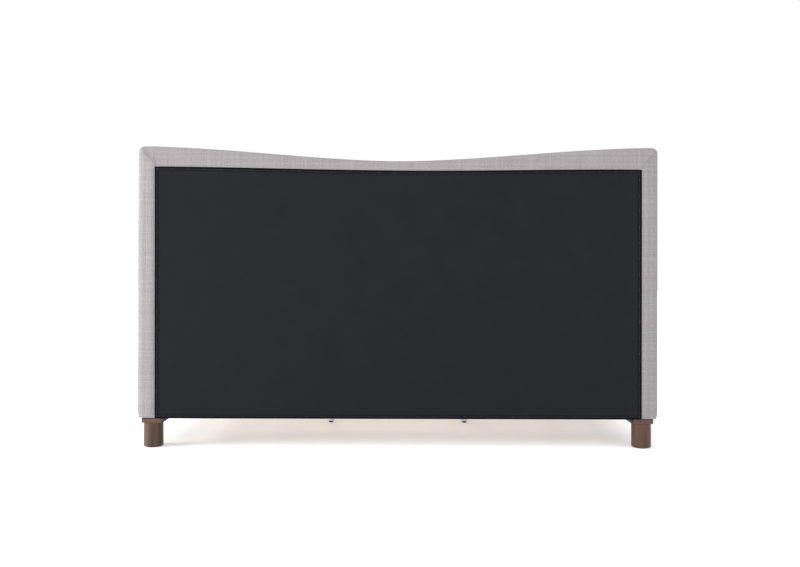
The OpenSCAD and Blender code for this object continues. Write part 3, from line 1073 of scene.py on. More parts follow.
def turned(name: str, centre: Sequence[float], profile: Sequence[tuple[float, float]],
           sides: int) -> bpy.types.Object:
    """Turns a profile round an upright axis.

    Args:
        name: the piece's name.
        centre: the axis's X and Y.
        profile: radius and height, lowest first.
        sides: the number of steps round it.

    Returns:
        The object.
    """
    angles = [2 * math.pi * i / sides for i in range(sides)]
    points = [(centre[0] + radius * math.cos(a), centre[1] + radius * math.sin(a), height)
              for radius, height in profile for a in angles]
    faces: list[tuple[int, ...]] = [
        (k * sides + i, k * sides + (i + 1) % sides, (k + 1) * sides + (i + 1) % sides, (k + 1) * sides + i)
        for k in range(len(profile) - 1)
        for i in range(sides)
    ]
    faces.append(tuple(reversed(range(sides))))
    faces.append(tuple((len(profile) - 1) * sides + i for i in range(sides)))
    piece = solid(name, points, faces)
    smooth_by_angle(piece, 32)
    log.info("%s: %d steps round", name, sides)
    return piece


def smooth_by_angle(piece: bpy.types.Object, degrees: float) -> None:
    """Shades a mesh smooth, except at edges sharper than an angle in degrees."""
    piece.data.shade_smooth()
    piece.data.set_sharp_from_angle(angle=math.radians(degrees))


def eased_copy(node: str, width: float, segments: int = 2) -> bpy.types.Object:
    """Copies a frame node and eases its edges, and hides the node.

    Args:
        node: the node's name.
        width: the width of the easing.
        segments: the number of steps in it.

    Returns:
        The new piece.
    """
    name = f"{node}_eased"
    mesh = frame["nodes"][node].data.copy()
    mesh.name = name
    bm = bmesh.new()
    bm.from_mesh(mesh)
    bmesh.ops.remove_doubles(bm, verts=bm.verts, dist=1e-5)
    bmesh.ops.dissolve_limit(bm, angle_limit=math.radians(1.0), verts=bm.verts, edges=bm.edges)
    bm.to_mesh(mesh)
    bm.free()
    piece = link(bpy.data.objects.new(name, mesh))
    bevel = piece.modifiers.new("easing", "BEVEL")
    bevel.width, bevel.segments = width, segments
    bevel.limit_method, bevel.angle_limit = "ANGLE", math.radians(40)
    bevel.use_clamp_overlap = True
    smooth_by_angle(piece, 35)
    if not mesh.uv_layers:
        Palette.flat_map(piece)
    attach(piece, body_of_node(node))
    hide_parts(node)
    log.info("%s: %.1f mm easing", name, 1000 * width)
    return piece


def body_of_node(node: str) -> str:
    """Returns the body that a frame node rides on."""
    return frame["nodes"][node]["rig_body"]


# What repeats


class NodeRecipe:
    """A Geometry Nodes tree with named inputs, which a modifier runs once to make a plain mesh."""

    KINDS = {float: "NodeSocketFloat", int: "NodeSocketInt", tuple: "NodeSocketVector"}

    def __init__(self, name: str, inputs: dict[str, Any]) -> None:
        """Makes the tree and its sockets.

        Args:
            name: the tree's name.
            inputs: each input's name and its usual value.
        """
        self.tree = bpy.data.node_groups.new(name, "GeometryNodeTree")
        self.tree.interface.new_socket(name="Geometry", in_out="INPUT", socket_type="NodeSocketGeometry")
        self.sockets: dict[str, str] = {}
        for label, value in inputs.items():
            kind = self.KINDS.get(type(value), "NodeSocketMaterial")
            socket = self.tree.interface.new_socket(name=label, in_out="INPUT", socket_type=kind)
            self.sockets[label] = socket.identifier
            if kind != "NodeSocketMaterial":
                socket.default_value = value
        self.tree.interface.new_socket(name="Geometry", in_out="OUTPUT", socket_type="NodeSocketGeometry")
        self.graph = Graph(self.tree)
        self.given = self.tree.nodes.new("NodeGroupInput").outputs
        self.result = self.tree.nodes.new("NodeGroupOutput").inputs

    def end_with(self, geometry: Socket, material: Socket) -> None:
        """Ends the tree in Realize Instances and Set Material.

        Args:
            geometry: what the tree made.
            material: its material's socket.
        """
        real = self.graph.add("GeometryNodeRealizeInstances", {0: geometry})
        inputs = {"Geometry": real.outputs[0], "Material": material}
        done = self.graph.add("GeometryNodeSetMaterial", inputs)
        self.tree.links.new(done.outputs[0], self.result[0])

    def run(self, name: str, source: bpy.types.Mesh, values: dict[str, Any], body: str) -> bpy.types.Object:
        """Runs the tree on a mesh and keeps the result as a plain piece on a body.

        Args:
            name: the piece's name.
            source: the mesh that the tree starts from.
            values: the inputs' values by name.
            body: the body that the piece rides on.

        Returns:
            The piece.
        """
        piece = link(bpy.data.objects.new(name, source))
        modifier = piece.modifiers.new("recipe", "NODES")
        modifier.node_group = self.tree
        for label, value in values.items():
            modifier[self.sockets[label]] = value
        bpy.context.view_layer.update()
        graph = bpy.context.evaluated_depsgraph_get()
        made = bpy.data.meshes.new_from_object(piece.evaluated_get(graph), depsgraph=graph)
        piece.modifiers.clear()
        piece.data = made
        made.name = name
        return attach(piece, body)


def build_dashes() -> NodeRecipe:
    """Short round wires laid along a path, as stitches or staples are.

    Returns:
        The recipe. Its mesh is the path's points and edges.
    """
    made = NodeRecipe("dashes", {"Spacing": 0.006, "Length": 0.004, "Radius": 0.0004, "Material": None})
    g = made.graph
    path = g.add("GeometryNodeMeshToCurve", {0: made.given["Geometry"]}).outputs[0]
    inputs = {"Curve": path, "Length": made.given["Spacing"]}
    points = g.add("GeometryNodeResampleCurve", inputs, mode="LENGTH")
    half = g.math("MULTIPLY", made.given["Length"], 0.5)
    heights = (g.math("MULTIPLY", half, -1.0), half)
    ends = [g.add("ShaderNodeCombineXYZ", {2: height}).outputs[0] for height in heights]
    line = g.add("GeometryNodeCurvePrimitiveLine", {"Start": ends[0], "End": ends[1]})
    ring = g.add("GeometryNodeCurvePrimitiveCircle", {"Resolution": 6, "Radius": made.given["Radius"]})
    wire = g.add("GeometryNodeCurveToMesh", {"Curve": line.outputs[0], "Profile Curve": ring.outputs[0],
                                             "Fill Caps": True})
    along = g.add("GeometryNodeInputTangent").outputs[0]
    facing = g.add("FunctionNodeAlignRotationToVector", {"Vector": along}, axis="Z")
    laid = g.add("GeometryNodeInstanceOnPoints", {"Points": points.outputs[0], "Instance": wire.outputs[0],
                                                  "Rotation": facing.outputs[0]})
    made.end_with(laid.outputs[0], made.given["Material"])
    return made


def build_boards() -> NodeRecipe:
    """A row of boards with rounded long edges, as a deck's slats are.

    Returns:
        The recipe.
    """
    inputs = {"Count": 12, "Pitch": 0.16, "Start": (0.0, 0.0, 0.0), "Width": 0.07, "Thickness": 0.019,
              "Length": 0.9, "Easing": 0.004, "Material": None}
    made = NodeRecipe("boards", inputs)
    g = made.graph
    step = g.add("ShaderNodeCombineXYZ", {0: made.given["Pitch"]}).outputs[0]
    row = g.add("GeometryNodeMeshLine", {"Count": made.given["Count"],
                                         "Start Location": made.given["Start"],
                                         "Offset": step}, mode="OFFSET")
    far = g.add("ShaderNodeCombineXYZ", {1: made.given["Length"]}).outputs[0]
    line = g.add("GeometryNodeCurvePrimitiveLine", {"End": far})
    section = g.add("GeometryNodeCurvePrimitiveQuadrilateral", {"Width": made.given["Width"],
                                                                "Height": made.given["Thickness"]})
    eased = g.add("GeometryNodeFilletCurve", {"Curve": section.outputs[0], "Radius": made.given["Easing"],
                                              "Count": 4}, mode="POLY")
    board = g.add("GeometryNodeCurveToMesh", {"Curve": line.outputs[0], "Profile Curve": eased.outputs[0],
                                              "Fill Caps": True})
    laid = g.add("GeometryNodeInstanceOnPoints", {"Points": row.outputs[0], "Instance": board.outputs[0]})
    made.end_with(laid.outputs[0], made.given["Material"])
    return made


def build_screws() -> NodeRecipe:
    """Domed screw heads on every point of a mesh, axis along Z.

    Returns:
        The recipe.
    """
    made = NodeRecipe("screws", {"Radius": 0.0042, "Height": 0.0012, "Material": None})
    g = made.graph
    crown = g.math("MULTIPLY", made.given["Radius"], 0.55)
    head = g.add("GeometryNodeMeshCone", {"Vertices": 16, "Radius Top": crown,
                                          "Radius Bottom": made.given["Radius"],
                                          "Depth": made.given["Height"]})
    laid = g.add("GeometryNodeInstanceOnPoints", {"Points": made.given["Geometry"],
                                                  "Instance": head.outputs[0]})
    made.end_with(laid.outputs[0], made.given["Material"])
    return made


def path_mesh(points: np.ndarray, closed: bool = False) -> bpy.types.Mesh:
    """A mesh of points joined in a line.

    Args:
        points: the points, one a row.
        closed: whether the last joins the first.

    Returns:
        The mesh.
    """
    mesh = bpy.data.meshes.new("path")
    edges = [(i, i + 1) for i in range(len(points) - 1)] + ([(len(points) - 1, 0)] if closed else [])
    mesh.from_pydata(points.tolist(), edges, [])
    return mesh


def laid_on(points: np.ndarray, piece: bpy.types.Object, lift: float) -> np.ndarray:
    """Moves points onto a piece's finished surface.

    Args:
        points: the points, one a row.
        piece: the piece.
        lift: how far they stand off it.

    Returns:
        The moved points.
    """
    tree = BVHTree.FromObject(piece, bpy.context.evaluated_depsgraph_get())
    found = [tree.find_nearest(Vector(p)) for p in points]
    return np.array([place + normal * lift for place, normal, _, _ in found])


# Sub-assemblies


def ease(t: np.ndarray) -> np.ndarray:
    """A smooth fall from 1 at t = 0 to 0 at t = 1."""
    return (1 + np.cos(np.pi * np.clip(t, 0.0, 1.0))) / 2


def rise(distance: np.ndarray, reach: float) -> np.ndarray:
    """A smooth rise from 0 at no distance to 1 at the reach."""
    return np.sin(np.pi / 2 * np.clip(distance / reach, 0, 1))


def opened(ring: np.ndarray) -> np.ndarray:
    """Turns a ring with a gap in it, so that it starts after the gap."""
    start = int(np.argmax(np.linalg.norm(ring - np.roll(ring, 1, 0), axis=1)))
    return np.roll(ring, -start, 0)


def round_sizes(node: str) -> tuple[tuple[float, float], np.ndarray, np.ndarray]:
    """Measures a node that is round about an upright axis.

    Args:
        node: the node's name.

    Returns:
        The axis's X and Y, each point's distance from the axis, and each point's height.
    """
    low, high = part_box(node)
    points = points_of(frame["nodes"][node])
    centre = ((low.x + high.x) / 2, (low.y + high.y) / 2)
    return centre, np.hypot(points[:, 0] - centre[0], points[:, 1] - centre[1]), points[:, 2]


def top_at(node: str, axis: int, low: float, high: float) -> float:
    """The highest point of a node between two places along an axis.

    Args:
        node: the node's name.
        axis: the axis's number.
        low: the first place.
        high: the last place.

    Returns:
        The height.
    """
    points = points_of(frame["nodes"][node])
    inside = (points[:, axis] >= low) & (points[:, axis] <= high)
    return float(points[inside, 2].max())


@dataclass(frozen=True)
class Dash:
    """The wires of a row of stitches or staples: their spacing, their length and their radius."""

    spacing: float
    length: float
    radius: float


@dataclass
class Workshop:
    """What every sub-assembly is given: the finishes and the recipes."""

    palette: Palette
    dashes: NodeRecipe
    boards: NodeRecipe
    screws: NodeRecipe
    seam: Dash = Dash(0.0058, 0.0042, 0.00045)
    thread_lift: float = 0.0003

    def upholster(self, piece: bpy.types.Object, *nodes: str) -> None:
        """Rounds a padded piece, puts it in place of its nodes, and covers it.

        Args:
            piece: the piece.
            nodes: the frame nodes that it stands for.
        """
        smooth(piece, 1)
        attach(piece, FRAME_BODY)
        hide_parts(*nodes)
        self.palette.dress(piece, "grey_tweed")
        log.info("%s: %d faces before rounding", piece.name, len(piece.data.polygons))

    def lay_dashes(self, name: str, path: bpy.types.Mesh, dash: Dash, finish: str) -> bpy.types.Object:
        """Lays a row of stitches or staples along a path.

        Args:
            name: the row's name.
            path: its path.
            dash: the sizes of its wires.
            finish: the finish's name.

        Returns:
            The row.
        """
        values = {"Spacing": dash.spacing, "Length": dash.length, "Radius": dash.radius,
                  "Material": self.palette.materials[finish]}
        row = self.dashes.run(name, path, values, FRAME_BODY)
        log.info("%s: %d faces", name, len(row.data.polygons))
        return row

    def stitch(self, name: str, points: np.ndarray, piece: bpy.types.Object) -> None:
        """Sews a row of stitches, along some points, on a padded piece."""
        path = path_mesh(laid_on(points, piece, self.thread_lift))
        self.lay_dashes(name, path, self.seam, "seam_thread")


@dataclass
class Back:
    """The upholstered back with the black cloth over its rear face."""

    shop: Workshop
    rear_roll: Roll = Roll(0.036, 0.018)
    front_roll: Roll = Roll(0.016, 0.016)
    upper_corner: float = 0.024
    lower_corner: Corner = Corner(0.0085, 0.034)
    crown: float = 0.006
    border_crown: float = 0.0045
    seam_share: float = 0.76
    swell: Swell = Swell(pressure=1.4, slack=0.005, most=0.006)
    hem: float = 0.0125
    cloth: float = 0.0006
    turned_hem: float = 0.0015
    hem_stitch: Dash = Dash(0.006, 0.0052, 0.0008)
    hem_staple: Dash = Dash(0.062, 0.0095, 0.00035)

    def __post_init__(self) -> None:
        """Reads the back's sizes from the frame."""
        low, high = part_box("back_cover")
        self.half, self.bottom, self.end_top = high.x, low.z, high.z
        self.front, self.rear = low.y, high.y
        self.seam_at = self.rear + (self.front - self.rear) * self.seam_share
        middle = (-0.03, 0.03)
        self.dip = self.end_top - top_at("back_cover", 0, *middle)
        self.dip_half = self.half - 2 * self.upper_corner
        self.cloth_low, self.cloth_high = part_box("back_dust_cover")
        self.cloth_dip = self.cloth_high.z - top_at("back_dust_cover", 0, *middle)
        self.arm_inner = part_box("right_arm_cover")[0].x
        self.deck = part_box("slat_01")[1].z

    def top(self, along: np.ndarray) -> np.ndarray:
        """Returns the height of the back's top edge at each X, part wave and part blunted V."""
        t = np.clip(np.abs(along) / self.dip_half, 0.0, 1.0)
        blunt, wave_share = 0.12, 0.6
        slope = np.maximum(1.0 - np.hypot(t, blunt), 0.0) / (1.0 - blunt)
        return self.end_top - self.dip * (wave_share * ease(t) + (1.0 - wave_share) * slope)

    def cloth_top(self, along: np.ndarray) -> np.ndarray:
        """Returns the height of the black cloth's top edge at each X."""
        return self.cloth_high.z - self.cloth_dip * ease(np.abs(along) / self.cloth_high.x)

    def build(self) -> None:
        """Builds the padded back, its seam, its corner pleats and its black cloth."""
        upper = Corner(self.upper_corner, self.upper_corner)
        lower = self.lower_corner
        corners = (lower, lower, upper, upper)
        outline = Outline(-self.half, self.half, self.bottom, self.top, corners, 116, 58,
                          bottom_share=0.1)
        edge = Edge(self.rear, self.front, self.rear_roll, self.front_roll, (self.seam_share,))
        rings = edge.stations()
        slab = Slab(outline, Plane.ALONG_BACK, rings, edge.seam_ring(0, rings))
        piece = slab.mesh("back_upholstery")
        blow_up(piece, self.shape(slab, piece), self.swell)
        self.shop.upholster(piece, "back_cover", "back_foam")
        self.sew(slab, piece)
        for side in Side:
            self.pleat(side, piece)
        self.cover_rear(piece)

    def shape(self, slab: Slab, piece: bpy.types.Object) -> np.ndarray:
        """Crowns both faces before the simulation.

        Args:
            slab: the slab that the piece was made from.
            piece: the piece.

        Returns:
            How freely each point moves, from 0 to 1.
        """
        points = points_of(piece)
        x, z = points[:, 0], points[:, 2]
        from_top = self.top(x) - z
        into = np.minimum(self.half - np.abs(x), from_top) - self.rear_roll.over
        outside = np.maximum(np.abs(x) - self.cloth_high.x, z - self.cloth_top(x))
        edge, full_border, lap, sunk = 0.001, 0.035, 0.004, 0.002
        rim = slab.is_first & (outside > edge)
        place = np.clip(outside / np.maximum(outside + into, edge), 0, 1)
        arch = np.clip((outside + into) / full_border, 0, 1) * np.sin(np.pi * place)
        points[rim, 1] += self.border_crown * arch[rim]
        points[slab.is_first & (outside < -lap), 1] -= sunk
        clear, side_reach, top_reach = 0.02, 0.12, 0.09
        bulge = (rise(self.arm_inner - np.abs(x), side_reach) * rise(z - self.deck - clear, side_reach)
                 * rise(from_top, top_reach))
        points[slab.is_last, 1] -= self.crown * bulge[slab.is_last]
        set_points(piece, points)
        free = np.zeros(len(points))
        free[slab.is_last] = np.clip(bulge[slab.is_last] * 1.4, 0, 1)
        free[rim] = 0.22 * arch[rim]
        band = ~slab.is_first & ~slab.is_last & (z > self.bottom + 0.05)
        free[band] = np.clip((np.abs(points[:, 1] - self.seam_at)[band] - 0.006) / 0.012, 0, 1) * 0.2
        return free

    def sew(self, slab: Slab, piece: bpy.types.Object) -> None:
        """Sews the row of stitches beside the front seam.

        Args:
            slab: the slab that the piece was made from.
            piece: the piece.
        """
        beside, start = 0.0075, 0.03
        ring = slab.outline.at(0.0)
        ring = opened(ring[ring[:, 1] > self.bottom + start])
        self.shop.stitch("back_seam_stitches", slab.path(ring, self.seam_at + beside), piece)

    def pleat(self, side: Side, piece: bpy.types.Object) -> None:
        """Lays the folded corner of the cover, from the upper corner to the black cloth.

        Args:
            side: the end that it is on.
            piece: the padded back.
        """
        strong = 1.4 if side is Side.RIGHT else 0.4
        name = f"{side.word}_corner_pleat"
        start = np.array([self.half - 0.0095, self.end_top - 0.0125])
        corner = np.array([self.cloth_high.x])
        end = np.array([corner[0] - 0.004, float(self.cloth_top(corner)[0]) + 0.002])
        way = (end - start) / np.linalg.norm(end - start)
        across = np.array([-way[1], way[0]])
        section = [(-0.024, -0.0008), (-0.019, 0.0002), (-0.013, 0.0022), (-0.0105, 0.0019),
                   (-0.0085, 0.0011), (-0.006, 0.0021), (-0.002, 0.0038), (0.0005, 0.0036),
                   (0.0016, 0.0022), (0.0012, -0.0012)]
        steps = 16
        tree = BVHTree.FromObject(piece, bpy.context.evaluated_depsgraph_get())
        points, faces = [], []
        for i in range(steps + 1):
            t = i / steps
            fade = math.sin(math.pi * min(1.0, 0.02 + 0.98 * t)) ** 0.5 if t < 1 else 0.4
            bend = 0.002 * math.sin(2.2 * math.pi * t)
            for offset, height in section:
                flat = start + (end - start) * t + across * (offset * (0.5 + 0.5 * t) + bend)
                origin = Vector((flat[0] * side.value, self.rear + 0.1, flat[1]))
                place, normal, _, _ = tree.ray_cast(origin, Vector((0, -1, 0)))
                lift = height * strong * fade if height > 0 else height
                points.append(place + normal * lift)
        width = len(section)
        for i in range(steps):
            faces += [(i * width + k, i * width + k + 1, (i + 1) * width + k + 1, (i + 1) * width + k)
                      for k in range(width - 1)]
            faces.append((i * width + width - 1, i * width, (i + 1) * width, (i + 1) * width + width - 1))
        faces += [tuple(range(width)), tuple(steps * width + k for k in range(width))]
        pleat = solid(name, [tuple(p) for p in points], faces)
        smooth_by_angle(pleat, 50)
        Palette.flat_map(pleat)
        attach(pleat, FRAME_BODY)
        self.shop.palette.dress(pleat, "grey_tweed")
        log.info("%s: %d steps long", name, steps)

    def cover_rear(self, piece: bpy.types.Object) -> None:
        """Builds the black cloth with its turned hem and its staples.

        Args:
            piece: the padded back that it is stapled to.
        """
        tight = Corner(0.003, 0.003)
        low, high = self.cloth_low, self.cloth_high
        outline = Outline(low.x, high.x, low.z, self.cloth_top, (tight,) * 4, 96, 48, arc=2)
        hem, front, face = self.hem, self.rear + self.cloth - 0.0002, self.rear + self.turned_hem
        profile = [
            Station(0.0006, self.rear + 0.0001), Station(0.0, self.rear + 0.0004),
            Station(0.0001, self.rear + 0.001), Station(0.0008, face), Station(hem - 0.0008, face),
            Station(hem, front), Station(hem + 0.0016, front),
        ]
        slab = Slab(outline, Plane.ALONG_BACK, profile)
        sheet = slab.mesh("black_dust_cloth")
        points = points_of(sheet)
        x, z = points[:, 0], points[:, 2]
        into = np.minimum(np.minimum(high.x - np.abs(x), self.cloth_top(x) - z), z - low.z)
        calm = np.clip((into - hem) / 0.12, 0, 1)
        pull = np.sin(x * 2 * np.pi / 0.11) * np.sin(z * 2 * np.pi / 0.13) * np.exp(-into / 0.03)
        sway = np.sin(x * 5.1 + 1.2 * np.sin(z * 4.0)) * np.sin(z * 6.3 + 0.8 * np.sin(x * 3.1))
        points[slab.is_last, 1] += (0.0004 * pull + 0.0009 * sway * calm)[slab.is_last]
        set_points(sheet, self.askew(points))
        smooth(sheet, 1)
        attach(sheet, FRAME_BODY)
        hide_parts("back_dust_cover")
        self.shop.palette.dress(sheet, "black_felt")
        # The edging is painted shade: a near-black strip along the hem's edge.
        edging = self.edge_cloth(slab)
        # The hem stitches are black thread in the near-black finish, darkened to stand in for the shade in
        # the hem's step.
        seam = self.hem_row(slab, "hem_stitches", Station(hem + 0.0004, face - 0.0006), self.hem_stitch,
                            "black_tape")
        staples = self.hem_row(slab, "hem_staples", Station(hem * 0.66, self.rear + 0.00165),
                               self.hem_staple, "staple_wire")
        width, height = high.x - low.x + 2 * hem, high.z - low.z + 2 * hem
        log.info("black_dust_cloth: %.3f by %.3f m flat", width, height)

    def askew(self, points: np.ndarray) -> np.ndarray:
        """Trims the black cloth a little out of square, as it is cut and stapled by hand.

        Args:
            points: points on the cloth, one a row.

        Returns:
            The moved points.
        """
        moved = points.copy()
        along = points[:, 0] / self.cloth_high.x
        up = np.clip((points[:, 2] - self.cloth_low.z) / (self.cloth_high.z - self.cloth_low.z), 0, 1)
        moved[:, 0] -= np.where(along > 0, along * (0.0085 - 0.0045 * up), along * 0.003)
        moved[:, 2] -= up * (0.002 + 0.0062 * np.clip((0.15 - along) / 1.15, 0, 1))
        return moved

    def edge_cloth(self, slab: Slab) -> bpy.types.Object:
        """Binds the black cloth's edge with a narrow near-black tape: a dark strip laid along the hem's
        edge as painted shade.

        Args:
            slab: the black cloth's slab.

        Returns:
            The tape.
        """
        face = self.rear + self.turned_hem
        section = [
            Station(-0.0007, self.rear - 0.0002), Station(-0.0008, face), Station(0.0002, face + 0.0007),
            Station(0.0052, face + 0.0007), Station(0.0058, face - 0.0004),
            Station(0.0008, self.rear + 0.0002),
        ]
        tape = slab.hoop("dust_cloth_edging", section)
        set_points(tape, self.askew(points_of(tape)))
        smooth_by_angle(tape, 50)
        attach(tape, FRAME_BODY)
        self.shop.palette.dress(tape, "black_tape")
        log.info("%s: %d faces", tape.name, len(tape.data.polygons))
        return tape

    def hem_row(self, slab: Slab, name: str, at: Station, dash: Dash, finish: str) -> bpy.types.Object:
        """Lays a row of stitches or staples along the hem.

        Args:
            slab: the black cloth's slab.
            name: the row's name.
            at: how far in the row runs, and its depth.
            dash: the sizes of its wires.
            finish: the finish's name.

        Returns:
            The row.
        """
        path = self.askew(slab.path(slab.outline.at(at.inset), at.depth))
        return self.shop.lay_dashes(name, path_mesh(path, True), dash, finish)


@dataclass
class Arm:
    """One padded arm, level at the front and rising to the back."""

    shop: Workshop
    side: Side
    roll: Roll = Roll(0.015, 0.0145)
    nose: float = 0.055
    level: float = 0.15
    crown: float = 0.0045
    seams: tuple[float, float] = (0.2, 0.8)
    swell: Swell = Swell(pressure=1.8, slack=0.014, most=0.006)

    def __post_init__(self) -> None:
        """Reads the arm's sizes from the frame, where both arms are mirror images."""
        low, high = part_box("right_arm_cover")
        self.inner, self.outer = low.x, high.x
        self.front, self.rear, self.bottom, self.rear_top = low.y, high.y, low.z, high.z
        self.front_top = top_at("right_arm_cover", 1, self.front, self.front + self.level)
        self.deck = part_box("slat_01")[1].z

    def top(self, along: np.ndarray) -> np.ndarray:
        """Returns the height of the arm's top edge at each Y."""
        run = self.rear - self.front - self.level
        return self.front_top + (self.rear_top - self.front_top) * ease((self.rear - along) / run)

    def build(self) -> None:
        """Builds the padded arm and its two seams."""
        foot, nose, heel = Corner(0.009, 0.012), Corner(self.nose, self.nose), Corner(0.006, 0.012)
        corners = (foot, Corner(0.0015, 0.004), heel, nose)
        outline = Outline(self.front, self.rear, self.bottom, self.top, corners, 62, 44, 5,
                          bottom_share=0.1)
        edge = Edge(self.inner, self.outer, self.roll, self.roll, self.seams)
        rings = edge.stations()
        slab = Slab(outline, Plane.ALONG_ARM, rings, edge.seam_ring(1, rings))
        piece = slab.mesh(f"{self.side.word}_arm_upholstery")
        blow_up(piece, self.shape(slab, piece), self.swell)
        if self.side is Side.LEFT:
            self.mirror(piece)
        self.shop.upholster(piece, f"{self.side.word}_arm_cover", f"{self.side.word}_arm_foam")
        self.sew(slab, piece)

    @staticmethod
    def mirror(piece: bpy.types.Object) -> None:
        """Turns the right arm's mesh into the left arm's."""
        set_points(piece, points_of(piece) * np.array([-1.0, 1.0, 1.0]))
        outward(piece)

    def shape(self, slab: Slab, piece: bpy.types.Object) -> np.ndarray:
        """Crowns the arm's faces before the simulation.

        Args:
            slab: the slab that the piece was made from.
            piece: the piece.

        Returns:
            How freely each point moves, from 0 to 1.
        """
        points = points_of(piece)
        y, z = points[:, 1], points[:, 2]
        edges = [y - self.front, self.rear - y + 0.03, self.top(y) - z, z - self.bottom]
        bulge = rise(np.minimum.reduce(edges), 0.11)
        lifted = bulge * np.clip((z - self.deck - 0.02) / 0.1, 0, 1)
        points[slab.is_first, 0] -= self.crown * lifted[slab.is_first]
        points[slab.is_last, 0] += self.crown * bulge[slab.is_last]
        set_points(piece, points)
        free = np.zeros(len(points))
        free[slab.is_first] = lifted[slab.is_first]
        free[slab.is_last] = bulge[slab.is_last]
        band = ~slab.is_first & ~slab.is_last & (z > self.bottom + 0.04) & (y < self.rear - 0.02)
        thick = self.outer - self.inner
        gaps = [np.abs(points[:, 0] - self.inner - share * thick) for share in self.seams]
        free[band] = np.clip((np.minimum(*gaps)[band] - 0.006) / 0.01, 0, 1) * 0.9
        return free

    def sew(self, slab: Slab, piece: bpy.types.Object) -> None:
        """Sews a row of stitches beside each seam, on the strip between them.

        Args:
            slab: the slab that the piece was made from.
            piece: the piece.
        """
        ring = slab.outline.at(0.0)
        ring = opened(ring[(ring[:, 1] > self.bottom + 0.02) & (ring[:, 0] < self.rear - 0.01)])
        thick, beside = self.outer - self.inner, 0.0072
        for label, share, way in (("inner", self.seams[0], 1), ("outer", self.seams[1], -1)):
            path = slab.path(ring, self.inner + share * thick + way * beside)
            path[:, 0] *= self.side.value
            self.shop.stitch(f"{self.side.word}_arm_{label}_stitches", path, piece)


@dataclass
class FrontRail:
    """The padded rail in front of the deck."""

    shop: Workshop
    front_roll: Roll = Roll(0.015, 0.014)
    rear_roll: Roll = Roll(0.004, 0.004)
    crown: float = 0.004
    swell: Swell = Swell(pressure=1.6, slack=0.012, most=0.005)

    def __post_init__(self) -> None:
        """Reads the rail's sizes from the frame."""
        self.low, self.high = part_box("front_rail_cover")

    def top(self, along: np.ndarray) -> np.ndarray:
        """Returns the height of the rail's top edge, which is level."""
        return np.full(along.shape, self.high.z)

    def build(self) -> None:
        """Builds the padded rail."""
        end = Corner(0.003, 0.008)
        outline = Outline(self.low.x, self.high.x, self.low.z, self.top, (end,) * 4, 118, 12, 2,
                          bottom_share=0.2)
        edge = Edge(self.high.y, self.low.y, self.rear_roll, self.front_roll)
        slab = Slab(outline, Plane.ALONG_BACK, edge.stations(arc=4))
        piece = slab.mesh("front_rail_upholstery")
        points = points_of(piece)
        x, z = points[:, 0], points[:, 2]
        into = np.minimum(np.minimum(self.high.x - np.abs(x), self.high.z - z), z - self.low.z)
        bulge = rise(into, 0.07)
        points[slab.is_last, 1] -= self.crown * bulge[slab.is_last]
        set_points(piece, points)
        free = np.zeros(len(points))
        free[slab.is_last] = bulge[slab.is_last]
        upper = ~slab.is_first & ~slab.is_last & (z > self.high.z - 0.02) & (np.abs(x) < self.high.x - 0.02)
        free[upper] = 0.5
        blow_up(piece, free, self.swell)
        self.shop.upholster(piece, "front_rail_cover", "front_rail_foam")


@dataclass
class Deck:
    """The slats, their screws and straps, the ledgers, and the centre beam with its hangers."""

    shop: Workshop
    easing: float = 0.0045
    head_radius: float = 0.0043
    head_height: float = 0.0011
    screw_share: float = 0.28

    def build(self) -> None:
        """Builds the slats and their screws, and eases the timbers."""
        names = sorted(n for n in frame["nodes"] if n.startswith("slat_") and n != "slat_straps")
        first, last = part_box(names[0]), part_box(names[-1])
        width, length, thick = (high - low for low, high in zip(*first))
        pitch = (last[0].x - first[0].x) / (len(names) - 1)
        middle = (first[0].x + width / 2, first[0].y, first[0].z + thick / 2)
        palette = self.shop.palette
        values = {"Count": len(names), "Pitch": pitch, "Start": middle, "Width": width, "Thickness": thick,
                  "Length": length, "Easing": self.easing, "Material": palette.materials["slat_pine"]}
        slats = self.shop.boards.run("deck_slats", bpy.data.meshes.new("row"), values, FRAME_BODY)
        smooth_by_angle(slats, 25)
        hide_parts(*names)
        log.info("deck_slats: %d boards", len(names))
        self.screw(names, width)
        for node in ("front_ledger", "back_ledger", "centre_beam"):
            palette.dress(eased_copy(node, 0.0018), "planed_pine_x")
        palette.dress(eased_copy("beam_hangers", 0.0006), "bright_zinc")
        palette.dress_node("slat_straps", "strap_webbing")

    def screw(self, names: Sequence[str], width: float) -> None:
        """Puts two screw heads at each end of every slat.

        Args:
            names: the slats' nodes.
            width: a slat's width.
        """
        ledgers = [sum(corner.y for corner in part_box(node)) / 2
                   for node in ("front_ledger", "back_ledger")]
        points = []
        for node in names:
            low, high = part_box(node)
            middle = (low.x + high.x) / 2
            points += [(middle + s * width * self.screw_share, y, high.z + 0.0002)
                       for s in (-1, 1) for y in ledgers]
        mesh = bpy.data.meshes.new("heads")
        mesh.from_pydata(points, [], [])
        values = {"Radius": self.head_radius, "Height": self.head_height,
                  "Material": self.shop.palette.materials["bright_zinc"]}
        heads = self.shop.screws.run("slat_screws", mesh, values, FRAME_BODY)
        log.info("slat_screws: %d heads", len(points))


